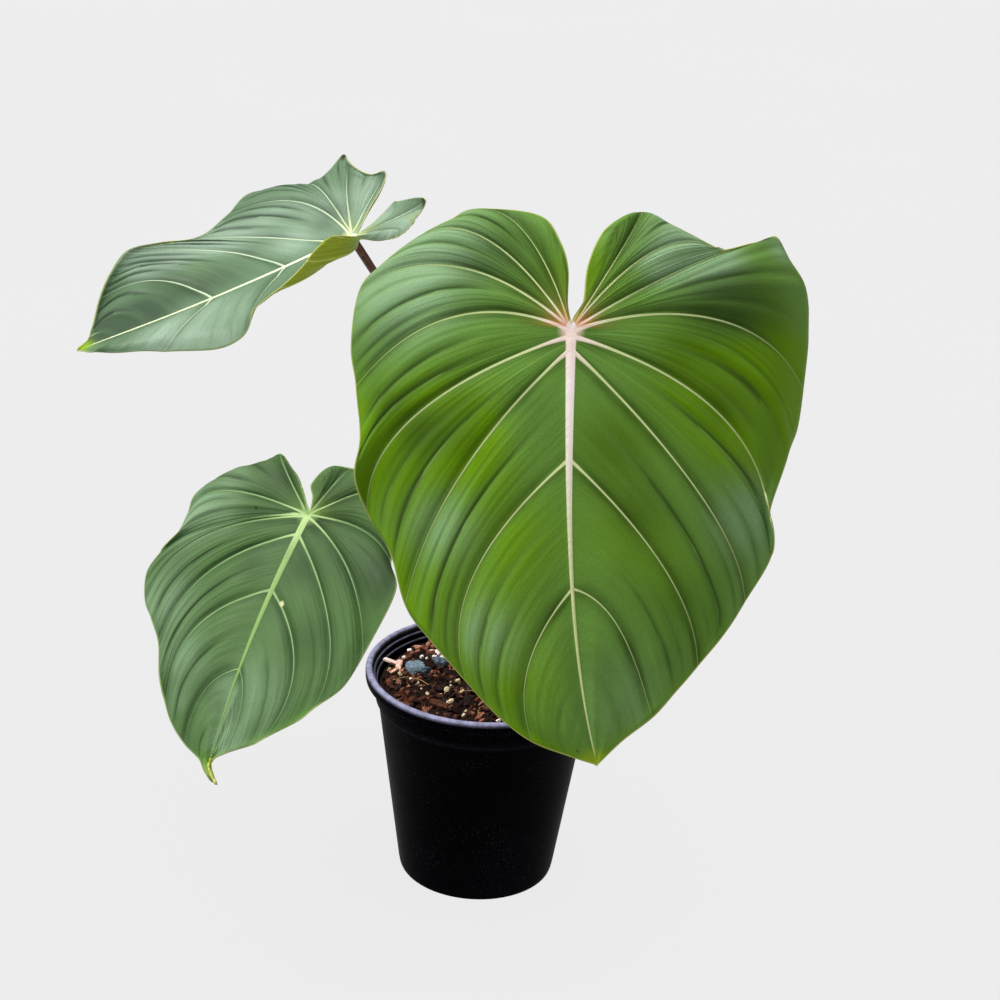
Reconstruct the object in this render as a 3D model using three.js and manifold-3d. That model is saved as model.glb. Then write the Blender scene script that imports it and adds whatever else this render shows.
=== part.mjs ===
// Philodendron gloriosum in a round nursery pot: three heart-shaped blades on slender petioles,
// which rise from a short creeping rhizome that lies half sunk in a barky potting mix.
// Millimetres, +Z up. The origin is the centre of the pot's base, and the plant faces -Y.

import * as THREE from 'three';
import Module from 'manifold-3d';
import { mergeVertices } from 'three/addons/utils/BufferGeometryUtils.js';

const wasm = await Module();
wasm.setup();

// ---------------------------------------------------------------- driving dimensions

const CLEARANCE = 0.3; // gap between pieces that touch

const POT = {
  height: 143,
  rimRadius: 76,
  lipDepth: 8,
  lipWidth: 4.6,
  collarRadius: 72,
  collarFlare: 2.8,
  collarHeight: 13,
  collarStep: 3,
  bodyTopRadius: 67.2,
  baseRadius: 50.5,
  wall: 1.6,
  floor: 2.4,
  heelHeight: 5,
  drainHoles: 8,
  drainRadius: 4.5,
  drainCircle: 37,
  segments: 48,
};

const LIP_BOTTOM = POT.height - POT.lipDepth;
const COLLAR_BOTTOM = LIP_BOTTOM - POT.collarHeight;
const BODY_TOP = COLLAR_BOTTOM - POT.collarStep;

const MIX = {
  bottomRadius: 48.4,
  shoulderRadius: 65,
  topRadius: 66.6,
  level: 130,
  swell: 1.3,
  rings: 9,
  spokes: 32,
  barkChips: 26,
  perliteGrains: 18,
};

const RHIZOME = {
  radius: 8.2,
  taper: 3.2,
  nodeSwell: 0.12,
  nodeCount: 6,
  sides: 10,
  steps: 26,
  route: [[4, 42, 128], [5, 30, 130], [9, 12, 131.5], [15, -8, 132], [21, -24, 133.5], [25, -33, 139]],
  roots: [
    [[5, 28, 130], [18, 34, 133], [30, 37, 126], [33, 38, 116]],
    [[10, 8, 131], [24, 8, 133], [35, 3, 127], [39, 0, 116]],
    [[13, -2, 131], [2, -10, 131], [-3, -15, 122], [-4, -17, 114]],
    [[19, -18, 132], [32, -20, 133], [40, -26, 125], [42, -28, 115]],
  ],
  rootRadius: 1.5,
  rootSides: 5,
  rootSteps: 6,
};

const BLADE = {
  thickness: 0.9,
  midribDepth: 2.3,
  midribWidth: 3.2,
  veinDepth: 0.7,
  rowOffsets: [0, 0.22, 0.5, 0.78],
  columns: [0, 0.04, 0.12, 0.25, 0.4, 0.56, 0.72, 0.87, 1],
};

// A blade is laid out flat in units of its own length: u to the right, v from the tip (-1) past the
// junction with the petiole (0) to the lobes. Its primary veins are numbered from the sinus round to
// the tip, so every place on a half has a vein number and a share of the way from midrib to margin.
// starts: vein number, distance of its start below the junction.
// margin: vein number, u, v, upward curl of the edge there in radians.
// arch:   vein number, u, v of the point that the vein bends towards.
const LEAVES = [
  {
    name: 'front',
    junction: [41.9, -12, 376.8],
    length: 262.7,
    heading: -87,
    slope: 60,
    bank: 0,
    tipBend: 22,
    lobeBend: 35,
    sway: 0.094,
    hook: 0,
    pleat: 2.0,
    colour: 0x3f7a26,
    starts: [[0, 0], [4, 0], [5, 0.012], [6, 0.038], [7, 0.292], [8, 0.585], [9, 1]],
    left: {
      fold: 0,
      droop: -22,
      curlFrom: 0.5,
      margin: [
        [0, 0, 0.02, 0], [0.15, -0.008, 0.062, 0.05], [0.3, -0.008, 0.14, 0.1], [0.5, -0.029, 0.213, 0],
        [0.75, -0.076, 0.277, -0.2], [1, -0.203, 0.304, -0.35], [1.5, -0.291, 0.276, -0.3],
        [2, -0.371, 0.233, -0.25], [2.5, -0.454, 0.178, -0.3], [3, -0.514, 0.115, -0.3],
        [3.5, -0.524, -0.029, -0.2], [4, -0.512, -0.132, -0.25], [4.45, -0.481, -0.261, 0.05],
        [4.7, -0.49, -0.34, 0.1], [5, -0.483, -0.436, -0.25], [5.5, -0.424, -0.526, -0.15],
        [6, -0.397, -0.651, -0.15], [6.5, -0.338, -0.721, 0], [7, -0.266, -0.824, -0.1],
        [7.5, -0.204, -0.894, 0], [8, -0.136, -0.947, 0.1], [8.5, -0.06, -0.98, 0], [9, 0, -1, 0],
      ],
      arch: [
        [0, 0, 0.01], [1, -0.082, 0.261], [2, -0.205, 0.307], [3, -0.261, 0.237], [4, -0.283, 0.12],
        [5, -0.46, -0.176], [6, -0.283, -0.312], [7, -0.316, -0.577], [8, -0.168, -0.779], [9, 0, -1],
      ],
    },
    right: {
      fold: 0,
      droop: -26,
      curlFrom: 0.5,
      margin: [
        [0, 0, 0.02, 0], [0.15, 0.025, 0.063, 0.05], [0.3, 0.033, 0.141, 0.1], [0.5, 0.063, 0.224, 0],
        [0.75, 0.117, 0.28, -0.15], [1, 0.163, 0.299, -0.2], [1.5, 0.242, 0.273, -0.15],
        [2, 0.342, 0.233, -0.1], [2.5, 0.365, 0.234, -0.15], [3, 0.417, 0.249, -0.2],
        [3.2, 0.5, 0.291, -0.3], [3.4, 0.564, 0.324, -0.35], [3.55, 0.6, 0.271, -0.35],
        [3.7, 0.658, 0.198, -0.35], [3.82, 0.662, 0.094, -0.33], [4, 0.634, -0.095, -0.3],
        [4.5, 0.562, -0.264, -0.15], [4.85, 0.48, -0.4, 0.1], [5.15, 0.487, -0.455, 0.1],
        [5.5, 0.507, -0.521, -0.15], [6, 0.429, -0.624, -0.15], [6.5, 0.342, -0.704, 0],
        [7, 0.283, -0.771, -0.1], [7.5, 0.216, -0.826, 0], [8, 0.15, -0.883, 0.1], [8.5, 0.069, -0.942, 0],
        [9, 0, -1, 0],
      ],
      arch: [
        [0, 0, 0.01], [0.25, 0.153, 0.295], [0.5, 0.171, 0.311], [1, 0.182, 0.303], [2, 0.186, 0.26],
        [3, 0.142, 0.098], [4, 0.392, 0.139], [5, 0.487, -0.141], [6, 0.41, -0.414], [7, 0.303, -0.56],
        [8, 0.126, -0.614], [9, 0, -1],
      ],
    },
    petiole: {
      baseRadius: 4.4,
      topRadius: 3.0,
      route: [[20, -9, 128], [23, -2, 170], [28, 10, 240], [34, 14, 310], [39, 4, 352]],
    },
  },
  {
    name: 'upper',
    junction: [-94.6, 60, 406.4],
    length: 185.5,
    heading: -150.8,
    slope: 20,
    bank: -10,
    tipBend: -8,
    lobeBend: 10,
    sway: 0,
    hook: 0,
    pleat: 1.6,
    colour: 0x5d8261,
    starts: [[0, 0], [4, 0], [5, 0.05], [6, 0.25], [7, 0.52], [8, 1]],
    left: {
      fold: 0,
      droop: -8,
      curlFrom: 0.35,
      margin: [
        [0, 0, 0.02, 0], [0.3, -0.082, 0.112, 0.3], [0.6, -0.125, 0.196, 0.6], [1, -0.194, 0.245, 0.54],
        [1.35, -0.237, 0.213, 0.35], [2, -0.374, 0.194, 0.32], [2.25, -0.45, 0.21, 0.25],
        [2.6, -0.481, 0.135, -0.1], [3, -0.526, 0.056, -0.24], [3.5, -0.59, -0.112, -0.05],
        [4, -0.515, -0.237, -0.08], [5, -0.396, -0.422, 0.06], [5.5, -0.41, -0.535, 0.2],
        [6, -0.385, -0.657, 0.35], [6.5, -0.303, -0.755, 0.31], [7, -0.207, -0.836, 0.2],
        [7.5, -0.087, -0.918, -0.05], [7.85, -0.022, -0.962, 0], [8, 0, -1, 0],
      ],
      arch: [
        [0, 0, 0.01], [0.25, -0.104, 0.134], [0.5, -0.208, 0.244], [1, -0.234, 0.215], [2, -0.416, 0.174],
        [3, -0.442, 0.095], [4, -0.486, 0.046], [5, -0.395, -0.341], [6, -0.455, -0.398],
        [7, -0.395, -0.599], [8, 0, -1],
      ],
    },
    right: {
      fold: 26,
      droop: 0,
      curlFrom: 0,
      margin: [
        [0, 0, 0.02, 0], [0.3, -0.001, 0.161, 0.5], [0.6, 0.037, 0.186, 0.48], [1, 0.196, 0.216, 0.27],
        [1.3, 0.171, 0.191, 0], [1.6, 0.243, 0.118, -0.12], [2.2, 0.345, -0.015, 0],
        [2.7, 0.408, -0.13, 0.3], [2.95, 0.434, -0.185, 0.38], [3.6, 0.482, -0.291, 0.3],
        [4, 0.484, -0.328, 0.22], [5, 0.477, -0.434, 0.07], [5.4, 0.443, -0.489, 0],
        [5.7, 0.409, -0.529, -0.1], [5.9, 0.407, -0.556, -0.24], [6.1, 0.377, -0.581, -0.38],
        [6.4, 0.334, -0.64, -0.5], [7.2, 0.127, -0.84, -0.44], [7.6, 0.068, -0.937, -0.4],
        [7.85, 0.066, -0.99, -0.1], [8, 0, -1, 0],
      ],
      arch: [
        [0, 0, 0.01], [0.25, 0.058, 0.193], [0.5, 0.066, 0.183], [1, 0.117, 0.212], [2, 0.228, 0.139],
        [3, 0.334, 0.005], [4, 0.42, -0.094], [5, 0.424, -0.24], [6, 0.285, -0.491], [7, 0.204, -0.695],
        [8, 0, -1],
      ],
    },
    petiole: {
      baseRadius: 4.0,
      topRadius: 2.5,
      route: [[13, 9, 127], [6, 14, 165], [-5, 20, 215], [-26, 30, 288], [-46, 38, 335], [-68, 47, 370]],
    },
  },
  {
    name: 'lower',
    junction: [-117.9, 40, 225.4],
    length: 181,
    heading: -119.3,
    slope: 41.5,
    bank: -2,
    tipBend: 17,
    lobeBend: 31,
    sway: 0.03,
    hook: 0.05,
    pleat: 1.6,
    colour: 0x4c7a4d,
    starts: [[0, 0], [4, 0], [5, 0.075], [6, 0.3], [7, 0.6], [8, 1]],
    left: {
      fold: 0,
      droop: -5,
      curlFrom: 0.45,
      margin: [
        [0, 0, 0.015, 0], [0.2, -0.041, 0.058, 0], [0.5, -0.102, 0.123, 0], [0.8, -0.162, 0.164, -0.1],
        [1, -0.25, 0.218, -0.3], [1.2, -0.29, 0.174, -0.3], [1.5, -0.42, 0.079, -0.25],
        [1.75, -0.5, -0.027, -0.2], [2, -0.511, -0.106, -0.35], [2.5, -0.471, -0.205, 0],
        [3, -0.549, -0.284, -0.3], [3.5, -0.569, -0.369, -0.3], [4, -0.504, -0.47, -0.15],
        [4.5, -0.424, -0.532, 0], [5, -0.367, -0.608, -0.1], [5.5, -0.302, -0.72, 0],
        [6, -0.249, -0.806, -0.1], [6.5, -0.19, -0.86, 0], [7, -0.115, -0.908, 0.1],
        [7.5, -0.033, -0.952, 0.1], [7.8, -0.025, -0.995, 0], [8, 0, -1, 0],
      ],
      arch: [
        [0, 0, 0.01], [0.25, -0.101, 0.126], [0.5, -0.129, 0.137], [1, -0.222, 0.173], [2, -0.447, 0.065],
        [3, -0.357, -0.094], [4, -0.47, -0.145], [5, -0.367, -0.272], [6, -0.337, -0.477],
        [7, -0.159, -0.671], [8, 0, -1],
      ],
    },
    right: {
      fold: 0,
      droop: 3,
      curlFrom: 0.45,
      margin: [
        [0, 0, 0.015, 0], [0.2, -0.018, 0.067, 0], [0.5, -0.05, 0.122, 0], [0.8, -0.015, 0.214, -0.1],
        [1, 0.059, 0.23, -0.15], [1.5, 0.17, 0.219, -0.2], [2, 0.267, 0.154, -0.2],
        [2.5, 0.365, 0.02, -0.2], [3, 0.382, -0.078, -0.15], [3.4, 0.451, -0.162, 0],
        [4, 0.427, -0.425, -0.1], [4.5, 0.407, -0.549, 0], [5, 0.337, -0.649, 0.1],
        [5.5, 0.276, -0.714, 0], [6, 0.183, -0.803, 0.1], [6.5, 0.132, -0.84, 0], [7, 0.05, -0.895, 0.1],
        [7.5, 0.007, -0.935, 0.1], [7.8, -0.011, -0.979, 0], [8, 0, -1, 0],
      ],
      arch: [
        [0, 0, 0.01], [0.25, 0.011, 0.191], [0.5, 0.026, 0.23], [1, 0.04, 0.208], [2, 0.173, 0.205],
        [3, 0.257, 0.053], [4, 0.322, -0.132], [5, 0.382, -0.395], [6, 0.306, -0.52], [7, 0.078, -0.701],
        [8, 0, -1],
      ],
    },
    petiole: {
      baseRadius: 3.8,
      topRadius: 2.4,
      route: [[6, 26, 126], [3, 32, 152], [-10, 44, 182], [-45, 58, 206], [-85, 57, 218]],
    },
  },
];

// ---------------------------------------------------------------- curves and meshes

/** Smooth curve through rows of [knot, value, value, ...], as the list of values at x. */
function through(rows, x) {
  const last = rows.length - 1;
  const place = THREE.MathUtils.clamp(x, rows[0][0], rows[last][0]);
  let i = 0;
  while (i < last - 1 && place >= rows[i + 1][0]) i += 1;
  const step = (j) => rows[j + 1][0] - rows[j][0];
  const slope = (j, c) => (rows[j + 1][c] - rows[j][c]) / step(j);
  const tangent = (j, c) => {
    if (j === 0) return slope(0, c);
    if (j === last) return slope(last - 1, c);
    return (slope(j - 1, c) * step(j) + slope(j, c) * step(j - 1)) / (step(j) + step(j - 1));
  };
  const h = step(i);
  const t = (place - rows[i][0]) / h;
  return rows[i].slice(1).map((value, k) => {
    const c = k + 1;
    const start = (2 * t ** 3 - 3 * t ** 2 + 1) * value;
    const leave = (t ** 3 - 2 * t ** 2 + t) * h * tangent(i, c);
    const end = (3 * t ** 2 - 2 * t ** 3) * rows[i + 1][c];
    const arrive = (t ** 3 - t ** 2) * h * tangent(i + 1, c);
    return start + leave + end + arrive;
  });
}

/** Repeatable random numbers from 0 to 1. */
function seeded(seed) {
  let state = seed;
  return () => {
    state = (state * 1664525 + 1013904223) % 4294967296;
    return state / 4294967296;
  };
}

/** Geometry from a list of points and a flat list of triangle corners. */
function meshGeometry(points, triangles) {
  const geometry = new THREE.BufferGeometry().setFromPoints(points);
  geometry.setIndex(triangles);
  return geometry;
}

/** A closed geometry as a solid that can be joined and cut. */
function toSolid(geometry) {
  geometry.deleteAttribute('normal');
  geometry.deleteAttribute('uv');
  const merged = mergeVertices(geometry, 1e-4);
  const vertProperties = new Float32Array(merged.attributes.position.array);
  const triVerts = new Uint32Array(merged.index.array);
  return new wasm.Manifold(new wasm.Mesh({ numProp: 3, vertProperties, triVerts }));
}

/** A solid's surface as a geometry. */
function toGeometry(solid) {
  const mesh = solid.getMesh();
  const geometry = new THREE.BufferGeometry();
  geometry.setAttribute('position', new THREE.BufferAttribute(mesh.vertProperties, 3));
  geometry.setIndex(new THREE.BufferAttribute(mesh.triVerts, 1));
  return geometry;
}

/** The biggest single body of a solid, without loose scraps. */
function largestBody(solid) {
  const bodies = solid.decompose();
  return bodies.reduce((best, body) => (body.volume() > best.volume() ? body : best));
}

/** Solid swept along a smooth route, with the section point [right, up] from outline(side, t). */
function sweep(route, sides, steps, reference, outline) {
  const curve = new THREE.CatmullRomCurve3(route.map((point) => new THREE.Vector3(...point)));
  const points = [];
  for (let i = 0; i <= steps; i += 1) {
    const t = i / steps;
    const centre = curve.getPointAt(t);
    const along = curve.getTangentAt(t);
    const right = new THREE.Vector3().crossVectors(reference, along).normalize();
    const up = new THREE.Vector3().crossVectors(along, right);
    for (let k = 0; k < sides; k += 1) {
      const [x, y] = outline(k, t);
      points.push(centre.clone().addScaledVector(right, x).addScaledVector(up, y));
    }
  }
  const triangles = [];
  for (let i = 0; i < steps; i += 1) {
    for (let k = 0; k < sides; k += 1) {
      const a = i * sides + k;
      const b = i * sides + ((k + 1) % sides);
      triangles.push(a, b, b + sides, a, b + sides, a + sides);
    }
  }
  for (let k = 1; k < sides - 1; k += 1) {
    const end = steps * sides;
    triangles.push(0, k + 1, k, end, end + k, end + k + 1);
  }
  return toSolid(meshGeometry(points, triangles));
}

// ---------------------------------------------------------------- blade

/** Axes of a blade: right and back along its face, and out of its upper face. */
function bladeAxes(leaf) {
  const heading = THREE.MathUtils.degToRad(leaf.heading);
  const slope = THREE.MathUtils.degToRad(leaf.slope);
  const bank = THREE.MathUtils.degToRad(leaf.bank);
  const ahead = new THREE.Vector3(Math.cos(heading), Math.sin(heading), 0);
  const back = ahead.clone().multiplyScalar(-Math.cos(slope)).setZ(Math.sin(slope));
  const level = ahead.clone().multiplyScalar(Math.sin(slope)).setZ(Math.cos(slope));
  const across = new THREE.Vector3().crossVectors(back, level);
  const right = across.clone().multiplyScalar(Math.cos(bank)).addScaledVector(level, Math.sin(bank));
  const out = level.clone().multiplyScalar(Math.cos(bank)).addScaledVector(across, -Math.sin(bank));
  return { right, back, out };
}

/** Height of the quilted face between two veins, at a vein number and a share of the half's width. */
function pleatHeight(leaf, vein, share) {
  const betweenVeins = (1 - Math.cos(2 * Math.PI * vein)) / 2;
  return leaf.pleat * betweenVeins * Math.sqrt(Math.max(0, 4 * share * (1 - share)));
}

/** Point on the upper face of a half blade. side is -1 for the left half and 1 for the right. */
function bladePoint(leaf, axes, side, vein, share) {
  const half = side < 0 ? leaf.left : leaf.right;
  const [start] = through(leaf.starts, vein);
  const [edgeU, edgeV, curl] = through(half.margin, vein);
  const [archU, archV] = through(half.arch, vein);
  const turn = Math.abs(curl) < 0.001 ? 0.001 : curl;
  const span = 1 - half.curlFrom;
  const outer = Math.max(0, share - half.curlFrom);
  const t = share < half.curlFrom ? share : half.curlFrom + (Math.sin((turn * outer) / span) * span) / turn;
  const u = 2 * t * (1 - t) * archU + t * t * edgeU;
  const v = -((1 - t) ** 2) * start + 2 * t * (1 - t) * archV + t * t * edgeV;
  const reach = Math.hypot(edgeU, edgeV + start);
  const curled = ((1 - Math.cos((turn * outer) / span)) * span * reach * leaf.length) / turn;
  const lift = curled + pleatHeight(leaf, vein, share);
  // Across: the half leaves the midrib at its fold angle and droops in an arc.
  const distance = u * side * leaf.length;
  const fold = THREE.MathUtils.degToRad(half.fold);
  const droop = THREE.MathUtils.degToRad(half.droop || 0.01) / (0.5 * leaf.length);
  const angle = fold + droop * distance;
  const sideways = (Math.sin(angle) - Math.sin(fold)) / droop - Math.sin(angle) * lift;
  const raised = (Math.cos(fold) - Math.cos(angle)) / droop + Math.cos(angle) * lift;
  // Along: the midrib sways to one side, hooks at its drip tip and bends down in an arc.
  const down = Math.max(0, -v);
  const hook = leaf.hook * Math.max(0, (down - 0.92) / 0.08) ** 2;
  const x = sideways * side + leaf.length * (leaf.sway * down ** 3 + hook);
  const bend = THREE.MathUtils.degToRad(v < 0 ? leaf.tipBend : leaf.lobeBend) / leaf.length;
  const arc = bend * v * leaf.length;
  const y = Math.sin(arc) / bend + Math.sin(arc) * raised;
  const z = (Math.cos(arc) - 1) / bend + Math.cos(arc) * raised;
  return new THREE.Vector3(...leaf.junction)
    .addScaledVector(axes.right, x)
    .addScaledVector(axes.back, y)
    .addScaledVector(axes.out, z);
}

/** Depth of the blade under its upper face: thickest at the midrib, ridged under every vein. */
function bladeDepth(leaf, side, vein, share) {
  const half = side < 0 ? leaf.left : leaf.right;
  const [start] = through(leaf.starts, vein);
  const [edgeU, edgeV] = through(half.margin, vein);
  const distance = share * Math.hypot(edgeU, edgeV + start) * leaf.length;
  const lastVein = leaf.starts[leaf.starts.length - 1][0];
  const taper = THREE.MathUtils.clamp((lastVein - vein) / (lastVein - 4), 0.15, 1);
  const underMidrib = Math.exp(-((distance / BLADE.midribWidth) ** 2)) * taper;
  const underVein = Math.abs(vein - Math.round(vein)) < 0.01 && vein > 0.5 ? 1 - share : 0;
  return BLADE.thickness + BLADE.midribDepth * underMidrib + BLADE.veinDepth * underVein;
}

/** One blade, closed, with the same triangles on both faces. */
function bladeGeometry(leaf) {
  const axes = bladeAxes(leaf);
  const lastVein = leaf.starts[leaf.starts.length - 1][0];
  const veins = [];
  for (let vein = 0; vein < lastVein; vein += 1) {
    BLADE.rowOffsets.forEach((offset) => veins.push(vein + offset));
  }
  const columns = BLADE.columns.length;
  const upper = [];
  const depths = [];
  const index = { '-1': [], 1: [] };
  const add = (side, vein, share) => {
    upper.push(bladePoint(leaf, axes, side, vein, share));
    depths.push(bladeDepth(leaf, side, vein, share));
    return upper.length - 1;
  };
  const junction = add(1, 0, 0);
  const tip = add(1, lastVein, 1);
  [1, -1].forEach((side) => {
    veins.forEach((vein, row) => {
      index[side].push(BLADE.columns.map((share, column) => {
        if (column === 0 && vein <= 4) return junction;
        if (side < 0 && (row === 0 || column === 0)) return index[1][row][column];
        return add(side, vein, share);
      }));
    });
    index[side].push(BLADE.columns.map(() => tip));
  });
  // The face, with the two halves wound so that both look up.
  const face = [];
  const put = (side, a, b, c) => {
    if (a === b || b === c || c === a) return;
    face.push(...(side > 0 ? [a, c, b] : [a, b, c]));
  };
  [1, -1].forEach((side) => {
    const rows = index[side];
    for (let row = 0; row < rows.length - 1; row += 1) {
      for (let column = 0; column < columns - 1; column += 1) {
        const a = rows[row][column];
        const b = rows[row][column + 1];
        const c = rows[row + 1][column + 1];
        const d = rows[row + 1][column];
        put(side, a, b, c);
        put(side, a, c, d);
      }
    }
  });
  const skin = meshGeometry(upper, face);
  skin.computeVertexNormals();
  const normals = upper.map((_, i) => new THREE.Vector3().fromBufferAttribute(skin.attributes.normal, i));
  const under = upper.map((point, i) => point.clone().addScaledVector(normals[i], -depths[i]));
  const count = upper.length;
  const triangles = [...face];
  for (let i = 0; i < face.length; i += 3) {
    triangles.push(face[i] + count, face[i + 2] + count, face[i + 1] + count);
  }
  // The margin wall runs down the right half's edge and back up the left half's.
  const rim = [
    ...index[1].map((row) => row[columns - 1]),
    ...index[-1].map((row) => row[columns - 1]).reverse().slice(1, -1),
  ];
  rim.forEach((a, i) => {
    const b = rim[(i + 1) % rim.length];
    triangles.push(a, b, b + count, a, b + count, a + count);
  });
  return meshGeometry([...upper, ...under], triangles);
}

// ---------------------------------------------------------------- stems

/** Petiole: round behind, with a flat face and two low ridges towards the blade's upper side. */
function petioleSolid(leaf, extra) {
  const { baseRadius, topRadius } = leaf.petiole;
  const sides = 10;
  const facing = bladeAxes(leaf).out;
  const route = [...leaf.petiole.route, leaf.junction];
  const stem = sweep(route, sides, 24, facing, (k, t) => {
    const angle = (2 * Math.PI * (k + 0.5)) / sides;
    const sheath = 1 + 0.35 * Math.exp(-((t / 0.06) ** 2));
    const radius = THREE.MathUtils.lerp(baseRadius, topRadius, t ** 0.7) * sheath + extra;
    const flat = Math.min(Math.sin(angle), 0.62);
    return [radius * Math.cos(angle), radius * flat];
  });
  // The top is cut level with the underside of the midrib.
  const block = new THREE.BoxGeometry(30, 30, 20);
  block.translate(0, 0, 10 - BLADE.thickness - BLADE.midribDepth - CLEARANCE);
  block.applyQuaternion(new THREE.Quaternion().setFromUnitVectors(new THREE.Vector3(0, 0, 1), facing));
  block.translate(...leaf.junction);
  return stem.subtract(toSolid(block));
}

/** Rhizome with its ringed nodes, pointed growing end and rooting strings, all one living piece. */
function rhizomeSolid(extra) {
  const up = new THREE.Vector3(0, 0, 1);
  const stem = sweep(RHIZOME.route, RHIZOME.sides, RHIZOME.steps, up, (k, t) => {
    const angle = (2 * Math.PI * (k + 0.5)) / RHIZOME.sides;
    const ring = 1 + RHIZOME.nodeSwell * Math.cos(2 * Math.PI * RHIZOME.nodeCount * t) ** 8;
    const ends = Math.min(1, 0.55 + 6 * t) * Math.min(1, 0.22 + RHIZOME.taper * (1 - t));
    const radius = RHIZOME.radius * ring * ends + extra;
    return [radius * Math.cos(angle), radius * Math.sin(angle)];
  });
  return RHIZOME.roots.reduce((body, route) => {
    const root = sweep(route, RHIZOME.rootSides, RHIZOME.rootSteps, new THREE.Vector3(1, 0, 0), (k, t) => {
      const angle = (2 * Math.PI * k) / RHIZOME.rootSides;
      const radius = RHIZOME.rootRadius * (1 - 0.45 * t) + extra;
      return [radius * Math.cos(angle), radius * Math.sin(angle)];
    });
    return body.add(root);
  }, stem);
}

// ---------------------------------------------------------------- pot and potting mix

/** Radius of the pot's outside wall under the collar, at a height. */
function bodyRadius(height) {
  return THREE.MathUtils.lerp(POT.baseRadius, POT.bodyTopRadius, height / BODY_TOP);
}

/** Pot: tapered body, wider collar, rolled lip, and drain holes round a flat floor. */
function potGeometry() {
  const insideTop = POT.rimRadius - POT.lipWidth;
  const profile = [
    [0, 0],
    [POT.baseRadius - 1.5, 0],
    [POT.baseRadius, 1.5],
    [bodyRadius(POT.heelHeight), POT.heelHeight],
    [POT.bodyTopRadius, BODY_TOP],
    [POT.collarRadius - POT.collarFlare, COLLAR_BOTTOM],
    [POT.collarRadius, LIP_BOTTOM + 0.5],
    [POT.rimRadius - 1.6, LIP_BOTTOM],
    [POT.rimRadius - 0.4, LIP_BOTTOM + 1.2],
    [POT.rimRadius, POT.height - 2.4],
    [POT.rimRadius - 1.2, POT.height - 0.5],
    [POT.rimRadius - 2.6, POT.height],
    [insideTop + 0.6, POT.height - 0.4],
    [insideTop, POT.height - 1.6],
    [insideTop - 0.6, POT.height - 4.2],
    [insideTop - 2, POT.height - 4.8],
    [insideTop - 2.4, POT.height - 8.4],
    [insideTop - 3.6, POT.height - 9],
    [POT.bodyTopRadius - POT.wall, BODY_TOP - 1],
    [POT.baseRadius - POT.wall, POT.floor],
    [0, POT.floor],
  ];
  const outline = profile.map(([radius, height]) => new THREE.Vector2(radius, height));
  const lathe = new THREE.LatheGeometry(outline, POT.segments);
  lathe.rotateX(Math.PI / 2);
  let pot = toSolid(lathe);
  for (let i = 0; i < POT.drainHoles; i += 1) {
    const angle = (2 * Math.PI * (i + 0.5)) / POT.drainHoles;
    const hole = new THREE.CylinderGeometry(POT.drainRadius, POT.drainRadius, 3 * POT.floor, 12);
    hole.rotateX(Math.PI / 2);
    hole.translate(POT.drainCircle * Math.cos(angle), POT.drainCircle * Math.sin(angle), POT.floor / 2);
    pot = pot.subtract(toSolid(hole));
  }
  return toGeometry(pot);
}

/** Uneven height of the mix at a place. */
function mixHeight(x, y) {
  const waves = Math.sin(0.11 * x + 0.7) * Math.cos(0.13 * y) + 0.5 * Math.sin(0.31 * x - 0.23 * y);
  return MIX.level + MIX.swell * waves;
}

/** The body of the mix, from the pot's floor to its uneven top. */
function mixBody() {
  const points = [];
  const triangles = [];
  const ring = (radius, height) => {
    const start = points.length;
    for (let k = 0; k < MIX.spokes; k += 1) {
      const angle = (2 * Math.PI * k) / MIX.spokes;
      const x = radius * Math.cos(angle);
      const y = radius * Math.sin(angle);
      points.push(new THREE.Vector3(x, y, height ?? mixHeight(x, y)));
    }
    return start;
  };
  const join = (low, high) => {
    for (let k = 0; k < MIX.spokes; k += 1) {
      const next = (k + 1) % MIX.spokes;
      triangles.push(low + k, low + next, high + next, low + k, high + next, high + k);
    }
  };
  const floor = POT.floor + CLEARANCE;
  const bottom = ring(MIX.bottomRadius, floor);
  const shoulder = ring(MIX.shoulderRadius, BODY_TOP - 2);
  join(bottom, shoulder);
  let outer = shoulder;
  for (let i = MIX.rings; i > 0; i -= 1) {
    const inner = ring((MIX.topRadius * i) / MIX.rings);
    join(outer, inner);
    outer = inner;
  }
  const centre = points.push(new THREE.Vector3(0, 0, mixHeight(0, 0))) - 1;
  const under = points.push(new THREE.Vector3(0, 0, floor)) - 1;
  for (let k = 0; k < MIX.spokes; k += 1) {
    const next = (k + 1) % MIX.spokes;
    triangles.push(outer + k, outer + next, centre, bottom + next, bottom + k, under);
  }
  return toSolid(meshGeometry(points, triangles));
}

/** Bark chips and perlite grains, bedded in the top of the mix by a seeded draw. */
function mixPieces() {
  const random = seeded(20240);
  const between = (low, high) => low + (high - low) * random();
  const pieces = [];
  const total = MIX.barkChips + MIX.perliteGrains;
  for (let i = 0; i < total; i += 1) {
    const isChip = i < MIX.barkChips;
    const size = isChip ? between(7, 13) : between(2.4, 4.2);
    const shape = isChip
      ? new THREE.BoxGeometry(size, between(4, 7), between(2.6, 4))
      : new THREE.IcosahedronGeometry(size / 1.6, 0);
    const radius = (MIX.topRadius - 9) * Math.sqrt(random());
    const angle = 2 * Math.PI * random();
    const x = radius * Math.cos(angle);
    const y = radius * Math.sin(angle);
    const tilt = new THREE.Euler(between(-0.3, 0.3), between(-0.3, 0.3), between(0, Math.PI));
    shape.applyQuaternion(new THREE.Quaternion().setFromEuler(tilt));
    shape.translate(x, y, mixHeight(x, y) + (isChip ? 0.8 : 0.9));
    pieces.push(toSolid(shape));
  }
  return pieces;
}

// ---------------------------------------------------------------- the potted plant

const plant = new THREE.Group();

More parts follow.
